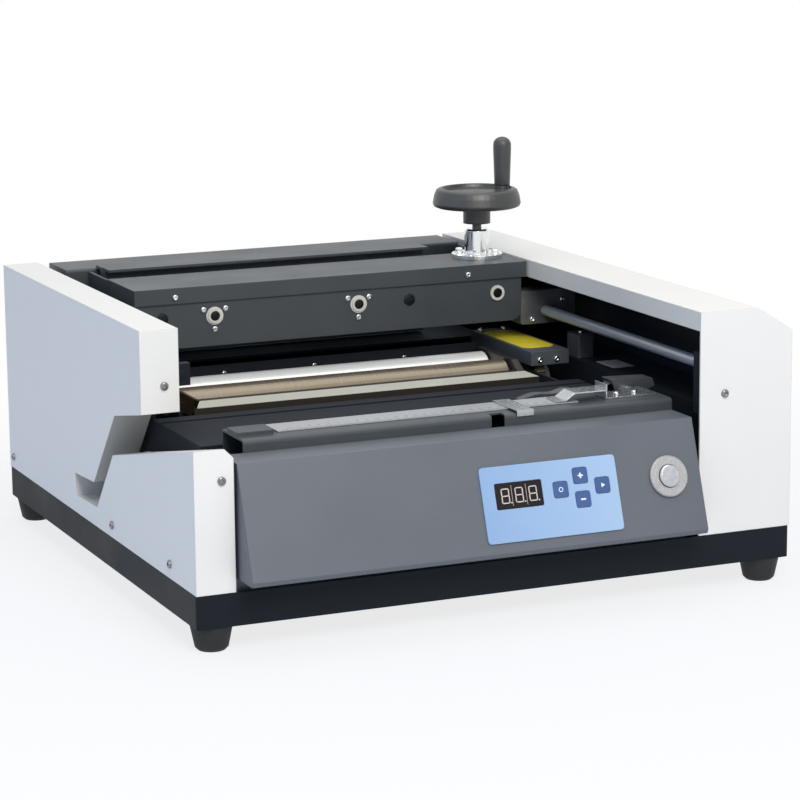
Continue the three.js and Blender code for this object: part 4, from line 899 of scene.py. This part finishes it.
# a flat bar with a point at each end
def makeBar(length, wide, thick):
    bpy.ops.mesh.primitive_plane_add(size=1)
    bpy.context.object.scale = ((length - wide) * mm, wide * mm, 1)
    piece = settle("barMaster")
    for side in (-1, 1):
        reach = side * (length - wide) / 2 * mm
        near = modelling["tolerance"]
        pick("edges", lambda edge: all(abs(corner.co.x - reach) < near for corner in edge.verts))
        bpy.ops.mesh.extrude_region_move(TRANSFORM_OT_translate={"value": (side * wide / 2 * mm, 0, 0)})
        bpy.ops.mesh.merge(type="CENTER")
        leaveEdit()
    pick("faces", lambda face: True)
    bpy.ops.mesh.extrude_region_move(TRANSFORM_OT_translate={"value": (0, 0, thick * mm)})
    bpy.ops.mesh.select_all(action="SELECT")
    bpy.ops.mesh.normals_make_consistent(inside=False)
    leaveEdit()
    return piece


# a place on the leaning panel, across and up the slope from a node's middle, half its thickness out
def onPanel(node, across, up, half, turn=0):
    point = middle(node) + Vector((across * mm, 0, 0)) + panelUp * up * mm + panelOut * half * mm
    return point, panelOut, turn


def onGlass(across, up, turn=0):
    return onPanel("display_window", across, up, digits["glassHalf"], turn)


def makeDigits():
    wide, high = digits["width"] / 2, digits["height"] / 2
    starts = [step * digits["pitch"] for step in (-1, 0, 1)]
    upright = math.pi / 2
    level = makeBar(digits["width"] - digits["gap"], digits["stroke"], digits["thick"])
    places = [onGlass(x, side * high) for x in starts for side in (-1, 0, 1)]
    levels = spread(level, "digitLevels", places)
    post = makeBar(high - digits["gap"], digits["stroke"], digits["thick"])
    halves = [(side * wide, rise * high / 2) for side in (-1, 1) for rise in (-1, 1)]
    places = [onGlass(x + across, up, upright) for x in starts for across, up in halves]
    posts = spread(post, "digitPosts", places)
    point = addCylinder("dotMaster", digits["dot"], 0, digits["thick"], digits["dotSides"])
    dots = spread(point, "digitDots", [onGlass(x + wide + digits["dotOut"], -high) for x in starts])
    finishPiece(joined("display_digits", [levels, posts, dots]), "base", "digitPale")
    line = makeBar(digits["lineLong"], digits["lineWide"], digits["lineThick"])
    places = [onGlass(side * digits["lineOut"], 0, upright) for side in (-1, 1)]
    lines = spread(line, "display_dividers", places)
    finishPiece(lines, "base", "digitPale")


def makeKeyMarks():
    half = keyMarks["keyHalf"]
    for node, turns in (("key_plus", (0, math.pi / 2)), ("key_minus", (0,))):
        bar = makeBar(keyMarks["long"], keyMarks["wide"], keyMarks["thick"])
        places = []
        for step, turn in enumerate(turns):
            places.append(onPanel(node, 0, 0, half + keyMarks["cross"] * step, turn))
        finishPiece(spread(bar, f"{node}_mark", places), node, "markPale")
    ring = addCylinder("ringMaster", keyMarks["ring"], 0, keyMarks["thick"])
    overrun = modelling["overrun"]
    cutOut(ring, addCylinder("ringTool", keyMarks["ring"] - keyMarks["ringWall"], -overrun, overrun))
    ring = spread(ring, "key_set_mark", [onPanel("key_set", 0, 0, half)])
    finishPiece(ring, "key_set", "markPale")
    arrow = addCylinder("arrowMaster", keyMarks["arrow"], 0, keyMarks["thick"], keyMarks["arrowSides"])
    arrow = spread(arrow, "key_ok_mark", [onPanel("key_ok", 0, 0, half, -math.pi / 2)])
    finishPiece(arrow, "key_ok", "markPale")


makeDigits()
makeKeyMarks()
print("display and key marks made")

# ruler: graduations every 1, 5 and 10 mm, a figure at each centimetre
rulerScale = {
    "start": 6, "length": 300, "front": 0.6, "thick": 0.04, "wide": 0.16, "lift": 0.002,
    "ticks": {"fine": (1, 3.0), "middle": (5, 4.5), "long": (10, 6.0)},
    "figure": 4.2, "figureUp": 10.2, "figurePitch": 10, "curveSteps": 3,
}


def makeTicks(name, pitch, reach):
    low = rulerScale["lift"] * pitch
    tick = addBlock(name, rulerScale["wide"], reach, low, low + rulerScale["thick"])
    bpy.ops.object.modifier_add(type="ARRAY")
    modifier = tick.modifiers[-1]
    modifier.count = rulerScale["length"] // pitch + 1
    modifier.use_relative_offset = False
    modifier.use_constant_offset = True
    modifier.constant_offset_displace = (pitch * mm, 0, 0)
    bpy.ops.object.modifier_apply(modifier=modifier.name)
    tick.location = onSide("ruler", "top", rulerScale["start"], rulerScale["front"] + reach / 2)
    return settle(name)


def makeFigure(number):
    across = rulerScale["start"] + rulerScale["figurePitch"] * number
    place = onSide("ruler", "top", across, rulerScale["figureUp"])
    bpy.ops.object.text_add(location=place)
    text = bpy.context.object.data
    text.body = str(number)
    text.size = rulerScale["figure"] * mm
    text.align_x = "CENTER"
    text.align_y = "CENTER"
    text.extrude = rulerScale["thick"] / 2 * mm
    text.resolution_u = rulerScale["curveSteps"]
    bpy.ops.object.convert(target="MESH")
    return settle(f"figure{number}")


def makeRulerScale():
    rows = []
    for name, (pitch, reach) in rulerScale["ticks"].items():
        rows.append(makeTicks(f"{name}Ticks", pitch, reach))
    figures = rulerScale["length"] // rulerScale["figurePitch"]
    rows += [makeFigure(number) for number in range(1, figures + 1)]
    finishPiece(joined("ruler_scale", rows), "base", "inkBlack")


makeRulerScale()
print("ruler made")

# plain coloured patches on the gear cover and the bed
patches = {
    "gear_cover_patch": {
        "wide": 38, "deep": 112, "corner": 7, "steps": 1, "thick": 0.25, "finish": "yellowPatch",
        "place": ("gear_cover", "top", 22.5, 79),
    },
    "bed_patch": {
        "wide": 26, "deep": 42, "corner": 1.5, "steps": 3, "thick": 0.2, "finish": "palePatch",
        "place": ("right_bed", "top", 46, 278, 60),
    },
}


def makePatches():
    for name, spec in patches.items():
        piece = addBlock(name, spec["wide"], spec["deep"], 0, spec["thick"])
        pick("edges", lambda edge: abs(edge.verts[0].co.z - edge.verts[1].co.z) > modelling["tolerance"])
        bpy.ops.mesh.bevel(offset=spec["corner"] * mm, segments=spec["steps"], affect="EDGES")
        leaveEdit()
        piece = spread(piece, name, [(onSide(*spec["place"]), directions["top"], 0)])
        finishPiece(piece, "base", spec["finish"])


makePatches()
print("patches made")

# inlet: three blades that stand on the socket's floor
blades = {
    "wide": 2.0, "high": 4.0, "long": 12.5, "tip": 0.7, "tipSteps": 2, "deep": 17,
    "places": ((8, 11), (15, 15), (22, 11)),
}


def makeBlades():
    blade = addBlock("bladeMaster", blades["wide"], blades["high"], 0, blades["long"])
    roundTop(blade, blades["tip"], blades["tipSteps"])
    places = []
    for across, up in blades["places"]:
        point = onSide("power_inlet", "rear", across, up, blades["deep"])
        places.append((point, directions["rear"], 0))
    finishPiece(spread(blade, "inlet_blades", places), "base", "screwSteel")


makeBlades()
print("inlet made")

# floor: paper that turns into the white background away from the machine
floorPaper = {
    "size": 60, "drop": 0.0002, "tone": (0.70, 0.76, 0.86, 1), "rough": 0.9, "near": 0.45, "far": 1.1,
    "share": 0.8,
}


def makeFloor():
    bpy.ops.mesh.primitive_plane_add(size=floorPaper["size"], location=(0, 0, -floorPaper["drop"]))
    floor = settle("studioFloor")
    material, tree, shader = newMaterial("floorPaper", {})
    shader.inputs["Base Color"].default_value = floorPaper["tone"]
    shader.inputs["Roughness"].default_value = floorPaper["rough"]
    reach = tree.nodes.new("ShaderNodeVectorMath")
    reach.operation = "LENGTH"
    tree.links.new(objectPlace(tree), reach.inputs[0])
    fade = tree.nodes.new("ShaderNodeMapRange")
    fade.inputs["From Min"].default_value = floorPaper["near"]
    fade.inputs["From Max"].default_value = floorPaper["far"]
    fade.inputs["To Min"].default_value = floorPaper["share"]
    tree.links.new(reach.outputs["Value"], fade.inputs["Value"])
    glow = tree.nodes.new("ShaderNodeEmission")
    mix = tree.nodes.new("ShaderNodeMixShader")
    tree.links.new(addMath(tree, "MULTIPLY", seenRay(tree), fade.outputs["Result"]), mix.inputs["Fac"])
    tree.links.new(shader.outputs["BSDF"], mix.inputs[1])
    tree.links.new(glow.outputs["Emission"], mix.inputs[2])
    tree.links.new(mix.outputs["Shader"], tree.nodes["Material Output"].inputs["Surface"])
    floor.data.materials.append(material)


makeFloor()
print("floor made")
